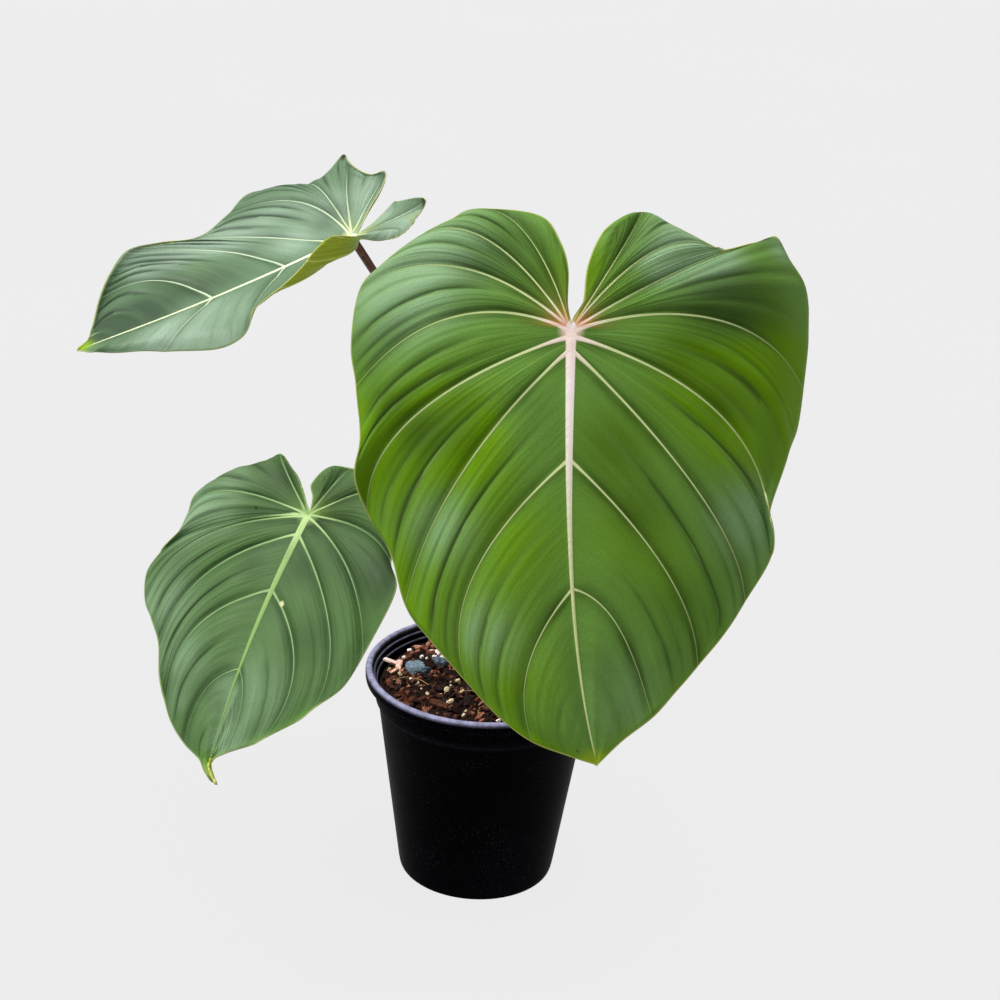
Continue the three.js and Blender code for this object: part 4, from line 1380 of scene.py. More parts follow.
UPPER_BLADE = Blade(
    name="upper",
    junction=(-94.6, 60, 406.4),
    length=185.5,
    heading=-150.8,
    slope=20,
    bank=-10,
    tip_bend=-8,
    lobe_bend=10,
    sway=0,
    hook=0,
    pleat=2.2,
    starts=((0, 0), (4, 0), (5, 0.05), (6, 0.25), (7, 0.52), (8, 1)),
    left=HalfBlade(
        side=Side.LEFT,
        fold=0,
        droop=-8,
        curl_from=0.35,
        margin=(
            (0, 0, 0.02, 0), (0.3, -0.082, 0.112, 0.3), (0.6, -0.125, 0.196, 0.6),
            (1, -0.194, 0.245, 0.54), (1.35, -0.237, 0.213, 0.35), (2, -0.374, 0.194, 0.32),
            (2.25, -0.45, 0.21, 0.25), (2.6, -0.481, 0.135, -0.1), (3, -0.526, 0.056, -0.24),
            (3.5, -0.59, -0.112, -0.05), (4, -0.515, -0.237, -0.08), (5, -0.396, -0.422, 0.06),
            (5.5, -0.41, -0.535, 0.2), (6, -0.385, -0.657, 0.35), (6.5, -0.303, -0.755, 0.31),
            (7, -0.207, -0.836, 0.2), (7.5, -0.087, -0.918, -0.05), (7.85, -0.022, -0.962, 0),
            (8, 0, -1, 0),
        ),
        arch=(
            (0, 0, 0.01), (0.25, -0.104, 0.134), (0.5, -0.208, 0.244), (1, -0.234, 0.215),
            (2, -0.416, 0.174), (3, -0.442, 0.095), (4, -0.486, 0.046), (5, -0.395, -0.341),
            (6, -0.455, -0.398), (7, -0.395, -0.599), (8, 0, -1),
        ),
        creases=(
            (1, 0.5, 0.6, 0.4), (2, 0.35, 0.7, 0.3), (2, 0.7, 0.7, 0.3), (3, 0.25, 0.7, 0.3),
            (3, 0.5, 0.9, 0.25), (3, 0.75, 0.7, 0.35), (4, 0.25, 0.8, 0.25), (4, 0.5, 1, 0.2),
            (4, 0.75, 0.8, 0.3), (5, 0.22, 0.8, 0.3), (5, 0.48, 1, 0.2), (5, 0.75, 0.8, 0.3),
            (6, 0.2, 0.7, 0.3), (6, 0.42, 1, 0.2), (6, 0.62, 0.9, 0.25), (6, 0.82, 0.8, 0.3),
            (7, 0.25, 0.8, 0.25), (7, 0.5, 1, 0.2), (7, 0.75, 0.7, 0.3),
        ),
    ),
    right=HalfBlade(
        side=Side.RIGHT,
        fold=26,
        droop=0,
        curl_from=0,
        margin=(
            (0, 0, 0.02, 0), (0.3, -0.001, 0.161, 0.5), (0.6, 0.037, 0.186, 0.48),
            (1, 0.196, 0.216, 0.27), (1.3, 0.171, 0.191, 0), (1.6, 0.243, 0.118, -0.12),
            (2.2, 0.345, -0.015, 0), (2.7, 0.408, -0.13, 0.3), (2.95, 0.434, -0.185, 0.38),
            (3.6, 0.482, -0.291, 0.3), (4, 0.484, -0.328, 0.22), (5, 0.477, -0.434, 0.07),
            (5.4, 0.443, -0.489, 0), (5.7, 0.409, -0.529, -0.1), (5.9, 0.407, -0.556, -0.24),
            (6.1, 0.377, -0.581, -0.38), (6.4, 0.334, -0.64, -0.5), (7.2, 0.127, -0.84, -0.44),
            (7.6, 0.068, -0.937, -0.4), (7.85, 0.066, -0.99, -0.1), (8, 0, -1, 0),
        ),
        arch=(
            (0, 0, 0.01), (0.25, 0.058, 0.193), (0.5, 0.066, 0.183), (1, 0.117, 0.212), (2, 0.228, 0.139),
            (3, 0.334, 0.005), (4, 0.42, -0.094), (5, 0.424, -0.24), (6, 0.285, -0.491),
            (7, 0.204, -0.695), (8, 0, -1),
        ),
        creases=(
            (1, 0.5, 0.3, 0.4), (5, 0.5, 0.3, 0.3), (6, 0.3, 0.25, 0.2), (6, 0.6, 0.25, 0.2),
            (7, 0.3, 0.25, 0.2), (7, 0.6, 0.25, 0.2),
        ),
    ),
    midrib_half=((0, 1.8), (0.3, 1.5), (0.6, 1.15), (0.85, 0.85), (1, 0.3)),
    tip_flat=0.9,
    vein_half=((0, 0.9), (0.1, 0.6), (0.3, 0.42), (0.6, 0.32), (1, 0.2)),
    # Stronger painted shade in the creases; below, painted light where light comes through, patches of
    # painted shade and painted grey sheen.
    painted_groove_shade=1.35,
    dry=((-0.44, 0.212, 4.5), (0.198, 0.218, 5.5), (0, -1.0, 2.2)),
    glow=((-0.03, -0.97, 0.04, 0.9), (-0.2, -0.55, 0.2, 0.2)),
    painted_shade=(
        (-0.06, -0.88, 0.1, 1.0), (-0.07, -0.72, 0.11, 1.0), (-0.1, -0.55, 0.08, 0.45),
        (-0.17, -0.29, 0.05, 0.25), (-0.12, -0.06, 0.05, 0.35), (-0.32, 0.02, 0.06, 0.2),
        (-0.09, -0.44, 0.1, 0.5), (-0.24, -0.6, 0.1, 0.5), (-0.18, 0.02, 0.09, 0.6),
    ),
    painted_sheen=(
        (-0.25, 0.0, 0.25, 0.4), (-0.33, -0.33, 0.12, 0.9), (-0.37, -0.5, 0.11, 1.0),
        (-0.36, -0.64, 0.1, 1.0), (0.18, -0.6, 0.2, 0.55), (0.14, -0.76, 0.1, 0.35),
        (0.25, 0.1, 0.2, 0.8), (-0.15, 0.1, 0.15, 0.6), (-0.11, -0.17, 0.07, 0.7),
        (-0.34, -0.15, 0.08, 0.5),
    ),
    upper=SAGE_SKIN,
    under=OLIVE_UNDERSIDE,
    slot="leaf_sage",
    seed=5,
)

LOWER_BLADE = Blade(
    name="lower",
    junction=(-117.9, 40, 225.4),
    length=181,
    heading=-119.3,
    slope=41.5,
    bank=-2,
    tip_bend=17,
    lobe_bend=31,
    sway=0.03,
    hook=0.05,
    pleat=2.4,
    starts=((0, 0), (4, 0), (5, 0.075), (6, 0.3), (7, 0.6), (8, 1)),
    left=HalfBlade(
        side=Side.LEFT,
        fold=0,
        droop=-5,
        curl_from=0.45,
        margin=(
            (0, 0, 0.015, 0), (0.2, -0.041, 0.058, 0), (0.5, -0.102, 0.123, 0),
            (0.8, -0.162, 0.164, -0.1), (1, -0.25, 0.218, -0.3), (1.2, -0.29, 0.174, -0.3),
            (1.5, -0.42, 0.079, -0.25), (1.75, -0.5, -0.027, -0.2), (2, -0.511, -0.106, -0.35),
            (2.5, -0.471, -0.205, 0), (3, -0.549, -0.284, -0.3), (3.5, -0.569, -0.369, -0.3),
            (4, -0.504, -0.47, -0.15), (4.5, -0.424, -0.532, 0), (5, -0.367, -0.608, -0.1),
            (5.5, -0.302, -0.72, 0), (6, -0.249, -0.806, -0.1), (6.5, -0.19, -0.86, 0),
            (7, -0.115, -0.908, 0.1), (7.5, -0.033, -0.952, 0.1), (7.8, -0.025, -0.995, 0), (8, 0, -1, 0),
        ),
        arch=(
            (0, 0, 0.01), (0.25, -0.101, 0.126), (0.5, -0.129, 0.137), (1, -0.222, 0.173),
            (2, -0.447, 0.065), (3, -0.357, -0.094), (3.25, -0.385, -0.106), (3.5, -0.413, -0.119),
            (3.75, -0.442, -0.132), (4, -0.47, -0.145), (5, -0.367, -0.272), (6, -0.337, -0.477),
            (7, -0.159, -0.671), (8, 0, -1),
        ),
        creases=(
            (1, 0.35, 0.8, 0.3), (1, 0.7, 0.8, 0.3), (2, 0.3, 0.7, 0.3), (2, 0.65, 0.9, 0.25),
            (3, 0.35, 0.7, 0.35), (3, 0.7, 0.8, 0.3), (4, 0.3, 0.6, 0.35), (4, 0.6, 0.9, 0.25),
            (5, 0.3, 0.6, 0.4), (5, 0.55, 1, 0.15), (5, 0.8, 0.4, 0.5), (6, 0.3, 0.5, 0.4),
            (6, 0.55, 0.9, 0.2), (7, 0.5, 0.5, 0.3),
        ),
    ),
    right=HalfBlade(
        side=Side.RIGHT,
        fold=0,
        droop=3,
        curl_from=0.45,
        margin=(
            (0, 0, 0.015, 0), (0.2, -0.018, 0.067, 0), (0.5, -0.05, 0.122, 0), (0.8, -0.015, 0.214, -0.1),
            (1, 0.059, 0.23, -0.15), (1.5, 0.17, 0.219, -0.2), (2, 0.267, 0.154, -0.2),
            (2.5, 0.365, 0.02, -0.2), (3, 0.382, -0.078, -0.15), (3.4, 0.451, -0.162, 0),
            (4, 0.427, -0.425, -0.1), (4.5, 0.407, -0.549, 0), (5, 0.337, -0.649, 0.1),
            (5.5, 0.276, -0.714, 0), (6, 0.183, -0.803, 0.1), (6.5, 0.132, -0.84, 0),
            (7, 0.05, -0.895, 0.1), (7.5, 0.007, -0.935, 0.1), (7.8, -0.011, -0.979, 0), (8, 0, -1, 0),
        ),
        arch=(
            (0, 0, 0.01), (0.25, 0.011, 0.191), (0.5, 0.026, 0.23), (1, 0.04, 0.208), (2, 0.173, 0.205),
            (3, 0.257, 0.053), (4, 0.322, -0.132), (5, 0.382, -0.395), (6, 0.306, -0.52),
            (7, 0.078, -0.701), (8, 0, -1),
        ),
        creases=(
            (0, 0.5, 0.4, 0.4), (2, 0.5, 0.4, 0.4), (3, 0.5, 0.5, 0.3), (4, 0.5, 0.45, 0.3),
            (5, 0.55, 0.5, 0.2), (6, 0.5, 0.6, 0.2), (7, 0.4, 0.3, 0.3),
        ),
        rim_glow=((0, 0), (4.5, 0), (5.5, 0.8), (8, 0.9)),
    ),
    midrib_half=((0, 2.3), (0.15, 2.1), (0.4, 1.4), (0.62, 0.8), (0.8, 0.35), (1, 0.2)),
    vein_half=((0, 0.9), (0.1, 0.55), (0.3, 0.38), (0.6, 0.3), (1, 0.2)),
    vein_weight=((0, 1), (6, 1), (7, 0.4), (8, 0.3)),
    # Patches of painted shade, stronger painted shade in the creases, painted light where light comes
    # through and painted grey sheen.
    painted_shade=(
        (0.25, -0.08, 0.16, 0.4), (0.11, 0.1, 0.12, 0.6), (0.06, -0.2, 0.1, 0.5), (0.22, -0.43, 0.1, 0.4),
        (-0.39, -0.33, 0.1, 0.3), (-0.18, 0.1, 0.11, 0.65), (0.01, -0.01, 0.07, 0.5),
        (0.4, -0.16, 0.11, 0.6), (-0.12, -0.24, 0.07, 0.5), (-0.07, -0.71, 0.06, 0.4),
        (0.41, -0.08, 0.08, 0.35), (0.04, 0.03, 0.05, 0.5),
    ),
    painted_groove_shade=1.1,
    dry=((0, -1.0, 5.0), (-0.209, -0.031, 1.0), (-0.374, -0.208, 0.9), (-0.222, 0.21, 1.6)),
    scar=((0.058, -0.337, 2.2),),
    glow=((0.2, 0.1, 0.15, 0.4), (0.4, -0.3, 0.12, 0.3), (-0.35, -0.2, 0.2, 0.25), (0, -0.95, 0.06, 0.8)),
    painted_sheen=(
        (-0.46, -0.12, 0.13, 1.0), (-0.4, -0.46, 0.15, 0.7), (-0.23, -0.64, 0.1, 0.6),
        (0.08, -0.68, 0.16, 0.6), (-0.36, 0.06, 0.09, 0.5), (0.05, -0.86, 0.07, 0.7),
        (-0.2, -0.78, 0.06, 0.4), (-0.3, -0.1, 0.07, 0.4),
    ),
    upper=SHADED_SAGE_SKIN,
    under=OLIVE_UNDERSIDE,
    slot="leaf_sage",
    seed=9,
)


# ---------------------------------------------------------------- stems


@dataclass
class Petiole:
    """Stalk of a leaf: rounded behind, with a shallow channel between two low ridges in front."""

    name: str
    route: Table
    base_radius: float
    top_radius: float
    skin: StemSkin
    steps: int = 70
    corners: int = 28

    def section(self) -> list[Row]:
        """Draws the stalk's section.

        Returns:
            Its outline for a half width of 1, with the channel at its top.
        """
        # Above the brink the section dips and rises about a middle height, crest to crest.
        brink, middle, swing, crest, fit = 0.55, 0.57, 0.08, 0.84, 0.97
        outline = []
        for k in range(self.corners):
            angle = 2 * math.pi * (k + 0.5) / self.corners
            rise = math.sin(angle)
            if rise > brink:
                rise = middle - swing * math.cos(math.pi * math.cos(angle) / crest)
            outline.append((math.cos(angle) * fit, rise * fit))
        return outline

    def build(self) -> bpy.types.Object:
        """Models the stalk from its sheath in the rhizome to the underside of its blade.

        Returns:
            The stalk.
        """
        along = np.linspace(0, 1, self.steps)
        sheath = 1 + 0.35 * hill(along, 0.06)
        swell = 1 + 0.12 * hill(along - 0.97, 0.04)
        radii = (self.base_radius + (self.top_radius - self.base_radius) * along**0.7) * sheath * swell
        return drawn_stem(f"stalk_{self.name}", self.route, radii, self.section())

    def dress(self) -> None:
        """Builds the stalk and puts it in place of its solid."""
        obj = self.build()
        coat(obj, self.skin)
        show(obj, "stem", f"petiole_{self.name}")


# Stalks are dark maroon and slightly glossy, and that of the biggest blade is greener.
MAROON_STALK = StemSkin("petiole_skin_maroon", "#43221c", "#6d4a35", "#b98a76", roughness=0.36)
GREEN_STALK = StemSkin("petiole_skin_green_maroon", "#4b3a22", "#6f6a3c", "#b9a27c", roughness=0.38)

PETIOLES = (
    Petiole(
        name="front",
        route=(
            (20, -9, 128), (23, -2, 170), (28, 10, 240), (34, 14, 310), (39, 3, 350),
            (41.8, -11.6, 372.6),
        ),
        base_radius=4.4,
        top_radius=3.0,
        skin=GREEN_STALK,
    ),
    Petiole(
        name="upper",
        route=(
            (13, 9, 127), (6, 14, 165), (-5, 20, 215), (-26, 30, 288), (-46, 38, 335), (-68, 47, 370),
            (-93.8, 59.4, 404.5),
        ),
        base_radius=4.0,
        top_radius=2.5,
        skin=MAROON_STALK,
    ),
    Petiole(
        name="lower",
        route=(
            (6, 26, 126), (3, 32, 152), (-10, 44, 182), (-45, 58, 206), (-85, 57, 217),
            (-117.4, 38.8, 221.9),
        ),
        base_radius=3.8,
        top_radius=2.4,
        skin=MAROON_STALK,
    ),
)


@dataclass
class Rhizome:
    """Creeping stem, half sunk in the mix, ringed at its nodes, with roots that dive into the mix.

    Lengths are in millimetres, and the rings' height and the wrinkles' depth are shares of the radius.
    """

    route: Table = (
        (4, 42, 128), (5, 30, 130), (9, 12, 131.5), (15, -8, 132), (21, -24, 133.5), (25, -33, 139),
    )
    radius: float = 8.2
    nodes: int = 6
    ring_height: float = 0.12
    wrinkle_depth: float = 0.03
    wrinkles: int = 4
    steps: int = 150
    roots: tuple[Table, ...] = (
        ((5, 28, 130), (18, 34, 133), (30, 37, 126), (33, 38, 116)),
        ((10, 8, 131), (24, 8, 133), (35, 3, 127), (39, 0, 116)),
        ((13, -2, 131), (2, -10, 131), (-3, -15, 122), (-4, -17, 114)),
        ((19, -18, 132), (32, -20, 133), (40, -26, 125), (42, -28, 115)),
    )
    root_radius: float = 1.5
    root_steps: int = 34
    # Old stem skin is corky and olive brown, and the roots are a dull straw brown.
    stem_skin: StemSkin = StemSkin(
        "rhizome_bark", "#5b5230", "#8a7a4c", "#c4ae7c", roughness=0.6, stretch=(1, 0.3, 1)
    )
    root_skin: StemSkin = StemSkin("root_skin", "#9b7a52", "#c3a577", "#e0cda0", roughness=0.7)

    def build_stem(self) -> bpy.types.Object:
        """Models the creeping stem with its rings and pointed growing end.

        Returns:
            The stem.
        """
        along = np.linspace(0, 1, self.steps)
        ring = 1 + self.ring_height * np.cos(2 * np.pi * self.nodes * along) ** 8
        wrinkle = np.cos(2 * np.pi * self.nodes * self.wrinkles * along) ** 4
        ring = ring - self.wrinkle_depth * wrinkle
        ends = np.minimum(1, 0.55 + 6 * along) * np.minimum(1, 0.22 + 3.2 * (1 - along))
        stem = drawn_stem("rhizome_stem", self.route, self.radius * ring * ends, round_section(36))
        grain = bpy.data.textures.new("rhizome_grain", "CLOUDS")
        grain.noise_scale = 4 * MM
        modify(stem, "DISPLACE", texture=grain, texture_coords="LOCAL", strength=1.1 * MM, mid_level=0.6)
        return stem

    def build_roots(self) -> bpy.types.Object:
        """Models the rooting strings.

        Returns:
            The strings as one piece.
        """
        along = np.linspace(0, 1, self.root_steps)
        strings = []
        for number, route in enumerate(self.roots):
            radii = self.root_radius * (1 - 0.45 * along) * (1 + 0.08 * np.sin(23 * along + number))
            strings.append(drawn_stem(f"root_{number}", route, radii, round_section(12)))
        return join("rhizome_roots", strings)

    def dress(self) -> None:
        """Builds the creeping stem and roots, and puts them in place of their solid."""
        stem = self.build_stem()
        coat(stem, self.stem_skin)
        show(stem, "stem", "rhizome")
        roots = self.build_roots()
        coat(roots, self.root_skin)
        show(roots, "stem")


# ---------------------------------------------------------------- potting mix


# Moist peat is a brown near black, matt and coarse.
PEAT = MixedMatter(
    "moist_peat",
    ((0.0, "#0a0403"), (0.35, "#1d0e07"), (0.6, "#402718"), (1.0, "#7a4e37")),
    grain_mm=2.2,
    relief_mm=0.9,
)
# Orchid bark runs from wet dark chips to dry pale ones, with a dull satin on the pieces.
BARK = MixedMatter(
    "orchid_bark",
    (
        (0.0, "#0b0504"), (0.35, "#2a120a"), (0.55, "#532c1b"), (0.7, "#7b4a35"), (0.85, "#c98f78"),
        (1.0, "#f0d8cf"),
    ),
    grain_mm=2.2,
    relief_mm=0.6,
    roughness=0.6,
)
# Perlite is popped volcanic glass: chalky white, stained brown where the mix has rubbed off.
PERLITE = MixedMatter(
    "perlite",
    ((0.25, "#94804a"), (0.5, "#cdbb8c"), (0.75, "#e8dccb"), (1.0, "#fbf3ee")),
    grain_mm=1.1,
    relief_mm=0.4,
    roughness=0.85,
)
# Pumice is a blue grey and deeply pitted stone.
PUMICE = MixedMatter(
    "grey_pumice",
    ((0.2, "#10151a"), (0.45, "#3c4853"), (0.65, "#71828f"), (0.9, "#b9c4cf")),
    grain_mm=2.0,
    relief_mm=0.9,
    roughness=0.8,
)


@dataclass(frozen=True)
class Bits:
    """One kind of loose bit on the mix, with its lengths in millimetres.

    Each variant is a block whose size is given as shares of its length. It is divided by cuts, rounded
    from 0 for a block to 1 for a pebble, and its points stray by the rough share. Its centre is raised
    by a share of its length, and it tilts by up to so many radians. A placed row is a bit at a chosen
    place: its centre, length, tone and tilt.
    """

    piece: str
    finish: MixedMatter
    variants: int
    size: Row
    cuts: int
    rough: float
    rounding: float
    count: int = 0
    lengths: tuple[float, float] = (0.0, 0.0)
    tones: tuple[float, float] = (0.0, 0.0)
    raised: float = 0.0
    tilt: float = 0.0
    placed: Table = ()


CHIPS = Bits(
    piece="bark_chips",
    finish=BARK,
    variants=9,
    size=(1.0, 0.38, 0.2),
    cuts=3,
    rough=0.1,
    rounding=0.35,
    count=250,
    lengths=(3.5, 9.0),
    tones=(0.05, 0.74),
    raised=0.12,
    tilt=0.8,
    placed=(
        (-60, 19, 133.5, 9.5, 0.98, 0.5), (-55.5, 15, 133, 8.0, 0.9, 0.4),
        (-9.8, -29, 134, 11.0, 0.12, 0.2), (-38, -28, 133, 9.0, 0.45, 0.3),
        (-27, -34, 133, 9.0, 0.5, 0.4), (-44, 42, 133, 7.0, 0.85, 0.6), (-38, 45, 134, 6.0, 0.76, 0.9),
        (-40, 38, 134, 6.5, 0.7, 0.8), (-33, 42, 134, 7.0, 0.82, 0.8), (-35, 34, 134, 6.0, 0.66, 0.9),
        (-47, 32, 133.5, 7.0, 0.72, 0.7), (-30, 47, 134, 6.0, 0.74, 0.8), (-51, 25, 133.5, 6.0, 0.62, 0.8),
        (-58, 8, 133, 6.5, 0.84, 0.6), (-53, 7, 133.5, 5.5, 0.75, 0.9),
    ),
)
CRUMBS = Bits(
    piece="mix_crumbs",
    finish=BARK,
    variants=6,
    size=(1.0, 0.7, 0.5),
    cuts=1,
    rough=0.16,
    rounding=0.5,
    count=900,
    lengths=(1.0, 3.4),
    tones=(0.0, 0.76),
    raised=0.35,
    tilt=1.4,
)
GRAINS = Bits(
    piece="perlite_grains",
    finish=PERLITE,
    variants=9,
    size=(1.0, 0.78, 0.66),
    cuts=3,
    rough=0.15,
    rounding=0.5,
    count=55,
    lengths=(1.0, 2.4),
    tones=(0.3, 0.9),
    raised=0.3,
    tilt=1.5,
)
STONES = Bits(
    piece="grey_stones",
    finish=PUMICE,
    variants=4,
    size=(1.0, 0.75, 0.5),
    cuts=7,
    rough=0.1,
    rounding=0.55,
    placed=(
        (-44.5, 15, 132, 11.5, 0.62, 0.5), (-38, 12, 131.6, 7.0, 0.48, 0.5),
        (-29, 25, 132.2, 8.5, 0.5, 0.4), (30, 44, 132, 8.0, 0.4, 0.3), (42, -30, 132, 9.0, 0.45, 0.3),
    ),
)


@dataclass
class PottingMix:
    """Barky mix: a crumbly bed with bark chips, crumbs, perlite, grey stones and a few fibres on it.

    Lengths are in millimetres. The clear strip under the rhizome leans across the mix.
    """

    bottom_radius: float = 48.4
    shoulder_radius: float = 65.0
    top_radius: float = 66.8
    floor: float = 2.7
    shoulder: float = 117.0
    level: float = 130.0
    swell: float = 1.3
    clear_middle: float = 12.0
    clear_lean: float = 0.28
    clear_half: float = 8.0
    clear_ends: tuple[float, float] = (-38.0, 42.0)
    segments: int = 96
    rings: int = 22
    big_grains: Table = (
        (-49.5, 37, 3.6), (-41.4, 32, 3.2), (-32.3, 36, 4.2), (-53, 29.4, 2.8), (-41.8, -8.2, 2.6),
        (-35, -19.6, 3.0), (-16.6, 0, 3.4), (-13.5, -13.4, 3.0), (-20.4, -31.4, 4.4), (-11.2, -44.7, 3.0),
        (-54, 2.8, 2.4), (-23, -14.4, 3.6), (-36, 40, 3.4), (-28, 30, 2.8), (-30.5, 34, 3.4),
        (-27, 36, 3.0), (-33, 31, 2.6), (-38, 29, 2.4),
    )
    long_fibre: Table = ((-58, -7, 134), (-50, -5, 135.6), (-41, -6, 134.8), (-35, -10, 133.4))
    fibres: int = 13
    fibre_radius: float = 0.2
    fibre_steps: int = 14
    # Dry fibres are straw coloured and dull.
    fibre_skin: StemSkin = StemSkin("dry_fibre", "#a8854c", "#c9ad72", "#e0cf9c", roughness=0.7)
    seed: int = 11
    random: np.random.Generator = field(init=False)

    def __post_init__(self) -> None:
        """Starts the seeded draw that places every bit."""
        self.random = np.random.default_rng(self.seed)

    def height(self, x: float, y: float) -> float:
        """Uneven height of the mix at a place, all in millimetres."""
        waves = math.sin(0.11 * x + 0.7) * math.cos(0.13 * y) + 0.5 * math.sin(0.31 * x - 0.23 * y)
        return self.level + self.swell * waves

    def build_bed(self) -> bpy.types.Object:
        """Models the body of the mix with a crumbled top.

        Returns:
            The bed.
        """
        profile = (
            (self.bottom_radius, self.floor),
            (self.shoulder_radius, self.shoulder),
            (self.top_radius, self.level - 1.5),
            (self.top_radius - 0.6, self.level),
        )
        bed = turned("mix_bed", profile, self.segments, self.rings)
        pick(bed)
        bpy.ops.object.mode_set(mode="EDIT")
        bpy.ops.mesh.subdivide(number_cuts=3)
        bpy.ops.object.mode_set(mode="OBJECT")
        tidy(bed, 1e-6)
        points = points_of(bed)
        top = np.flatnonzero(points[:, 2] > (self.level - 0.4) * MM)
        group = bed.vertex_groups.new(name="top")
        group.add(top.tolist(), 1.0, "REPLACE")
        for index in top:
            x, y, _ = points[index] / MM
            points[index, 2] = self.height(x, y) * MM
        move_points(bed, points)
        for name, lump_mm, height_mm in (("mix_lumps", 6.0, 4.2), ("mix_crumb", 1.8, 2.2)):
            texture = bpy.data.textures.new(name, "CLOUDS")
            texture.noise_scale = lump_mm * MM
            texture.noise_depth = 3
            modify(
                bed,
                "DISPLACE",
                texture=texture,
                texture_coords="LOCAL",
                direction="Z",
                vertex_group="top",
                strength=height_mm * MM,
                mid_level=0.5,
            )
        mark(bed, "tone", np.full(len(bed.data.vertices), 0.3))
        pick(bed)
        bpy.ops.object.shade_smooth_by_angle(angle=math.radians(50))
        return bed

    def build_bits(self, kind: Bits) -> list[bpy.types.Object]:
        """Models a few bits to be copied.

        Args:
            kind: The kind of bit.

        Returns:
            Its variants, each about 1 mm long and centred on the origin.
        """
        bits = []
        for number in range(kind.variants):
            bpy.ops.object.select_all(action="DESELECT")
            bpy.ops.mesh.primitive_cube_add(size=MM)
            bit = named(f"{kind.piece}_{number}")
            bpy.ops.object.mode_set(mode="EDIT")
            bpy.ops.mesh.select_all(action="SELECT")
            bpy.ops.mesh.subdivide(number_cuts=kind.cuts, smoothness=kind.rounding)
            bpy.ops.transform.vertex_random(offset=kind.rough * MM, seed=self.seed + number)
            bpy.ops.transform.resize(value=kind.size)
            bpy.ops.object.mode_set(mode="OBJECT")
            bits.append(bit)
        return bits

    def by_rhizome(self, x: float, y: float) -> bool:
        """Whether a place lies along the rhizome's back, which bits keep clear of."""
        beside = abs(x - (self.clear_middle - self.clear_lean * y))
        return beside < self.clear_half and self.clear_ends[0] < y < self.clear_ends[1]

    def spots(self, kind: Bits) -> list[Row]:
        """Seeded places over the mix, clear of the pot's wall and of the rhizome's back.

        Args:
            kind: The bits to find places for.

        Returns:
            Rows of centre, length, tone and tilt.
        """
        found: list[Row] = []
        while len(found) < kind.count:
            size = self.random.uniform(*kind.lengths)
            radius = (self.top_radius - 0.55 * size - 0.6) * math.sqrt(self.random.uniform())
            angle = self.random.uniform(0, 2 * math.pi)
            x, y = radius * math.cos(angle), radius * math.sin(angle)
            if self.by_rhizome(x, y):
                continue
            tone = self.random.uniform(*kind.tones)
            found.append((x, y, self.height(x, y) + kind.raised * size, size, tone, kind.tilt))
        return found

    def place_big_grains(self) -> list[Row]:
        """Lays the biggest perlite grains on the mix, pale at the back and duller in front.

        Returns:
            Rows of centre, length, tone and tilt.
        """
        rows = []
        for x, y, size in self.big_grains:
            tone = 0.92 if y > 20 else 0.55
            rows.append((x, y, self.height(x, y) + 0.4 * size + 0.8, 0.85 * size, tone, GRAINS.tilt))
        return rows

    def scatter(self, kind: Bits, places: list[Row]) -> bpy.types.Object:
        """Copies bits of one kind to their places and joins them.

        Args:
            kind: The bits to copy in turn.
            places: For each copy its centre in millimetres, length in millimetres, tone and tilt.

        Returns:
            The joined piece.
        """
        bits = self.build_bits(kind)
        copies = []
        for number, (x, y, z, length, tone, tilt) in enumerate(places):
            copy = bits[number % len(bits)].copy()
            copy.data = copy.data.copy()
            bpy.context.scene.collection.objects.link(copy)
            lean = self.random.uniform(-tilt, tilt, 2)
            turn = Euler((lean[0], lean[1], self.random.uniform(0, 2 * math.pi))).to_matrix().to_4x4()
            stretch = Matrix.Diagonal((*(length * self.random.uniform(0.8, 1.2, 3)), 1.0))
            copy.data.transform(Matrix.Translation(Vector((x, y, z)) * MM) @ turn @ stretch)
            mark(copy, "tone", np.full(len(copy.data.vertices), tone))
            copies.append(copy)
        for bit in bits:
            bpy.data.objects.remove(bit)
        piece = join(kind.piece, copies)
        bpy.ops.object.shade_smooth_by_angle(angle=math.radians(35))
        return piece

    def fibre_route(self) -> Table:
        """Lays a fibre at a seeded place.

        Returns:
            Its route, bowed and with both ends dipping into the bits.
        """
        x, y = self.random.uniform(-42, 42, 2)
        turn = self.random.uniform(0, 2 * math.pi)
        bow = self.random.uniform(-3, 3)
        points = []
        for step in (-1.0, -0.3, 0.4, 1.0):
            px = x + 7 * step * math.cos(turn) - bow * (1 - step**2) * math.sin(turn)
            py = y + 7 * step * math.sin(turn) + bow * (1 - step**2) * math.cos(turn)
            points.append((px, py, self.height(px, py) + 2.6 - 1.6 * abs(step)))
        return tuple(points)

    def build_fibres(self) -> bpy.types.Object:
        """Models a few dry fibres that lie over the bits.

        Returns:
            The fibres as one piece.
        """
        routes = [self.long_fibre]
        for _ in range(self.fibres):
            routes.append(self.fibre_route())
        radii = np.full(self.fibre_steps, self.fibre_radius)
        straws = []
        for number, route in enumerate(routes):
            straws.append(drawn_stem(f"fibre_{number}", route, radii, round_section(6)))
        return join("mix_fibres", straws)

    def dress(self) -> None:
        """Builds the bed and everything on it, and puts them in place of their solid."""
        bed = self.build_bed()
        coat(bed, PEAT)
        show(bed, "bark_mix", "potting_mix")
        for kind in (CHIPS, CRUMBS, GRAINS, STONES):
            places = [*self.spots(kind), *kind.placed]
            if kind is GRAINS:
                places += self.place_big_grains()
            piece = self.scatter(kind, places)
            coat(piece, kind.finish)
            show(piece, "bark_mix")
        fibres = self.build_fibres()
        coat(fibres, self.fibre_skin)
        show(fibres, "bark_mix")


# ---------------------------------------------------------------- pot


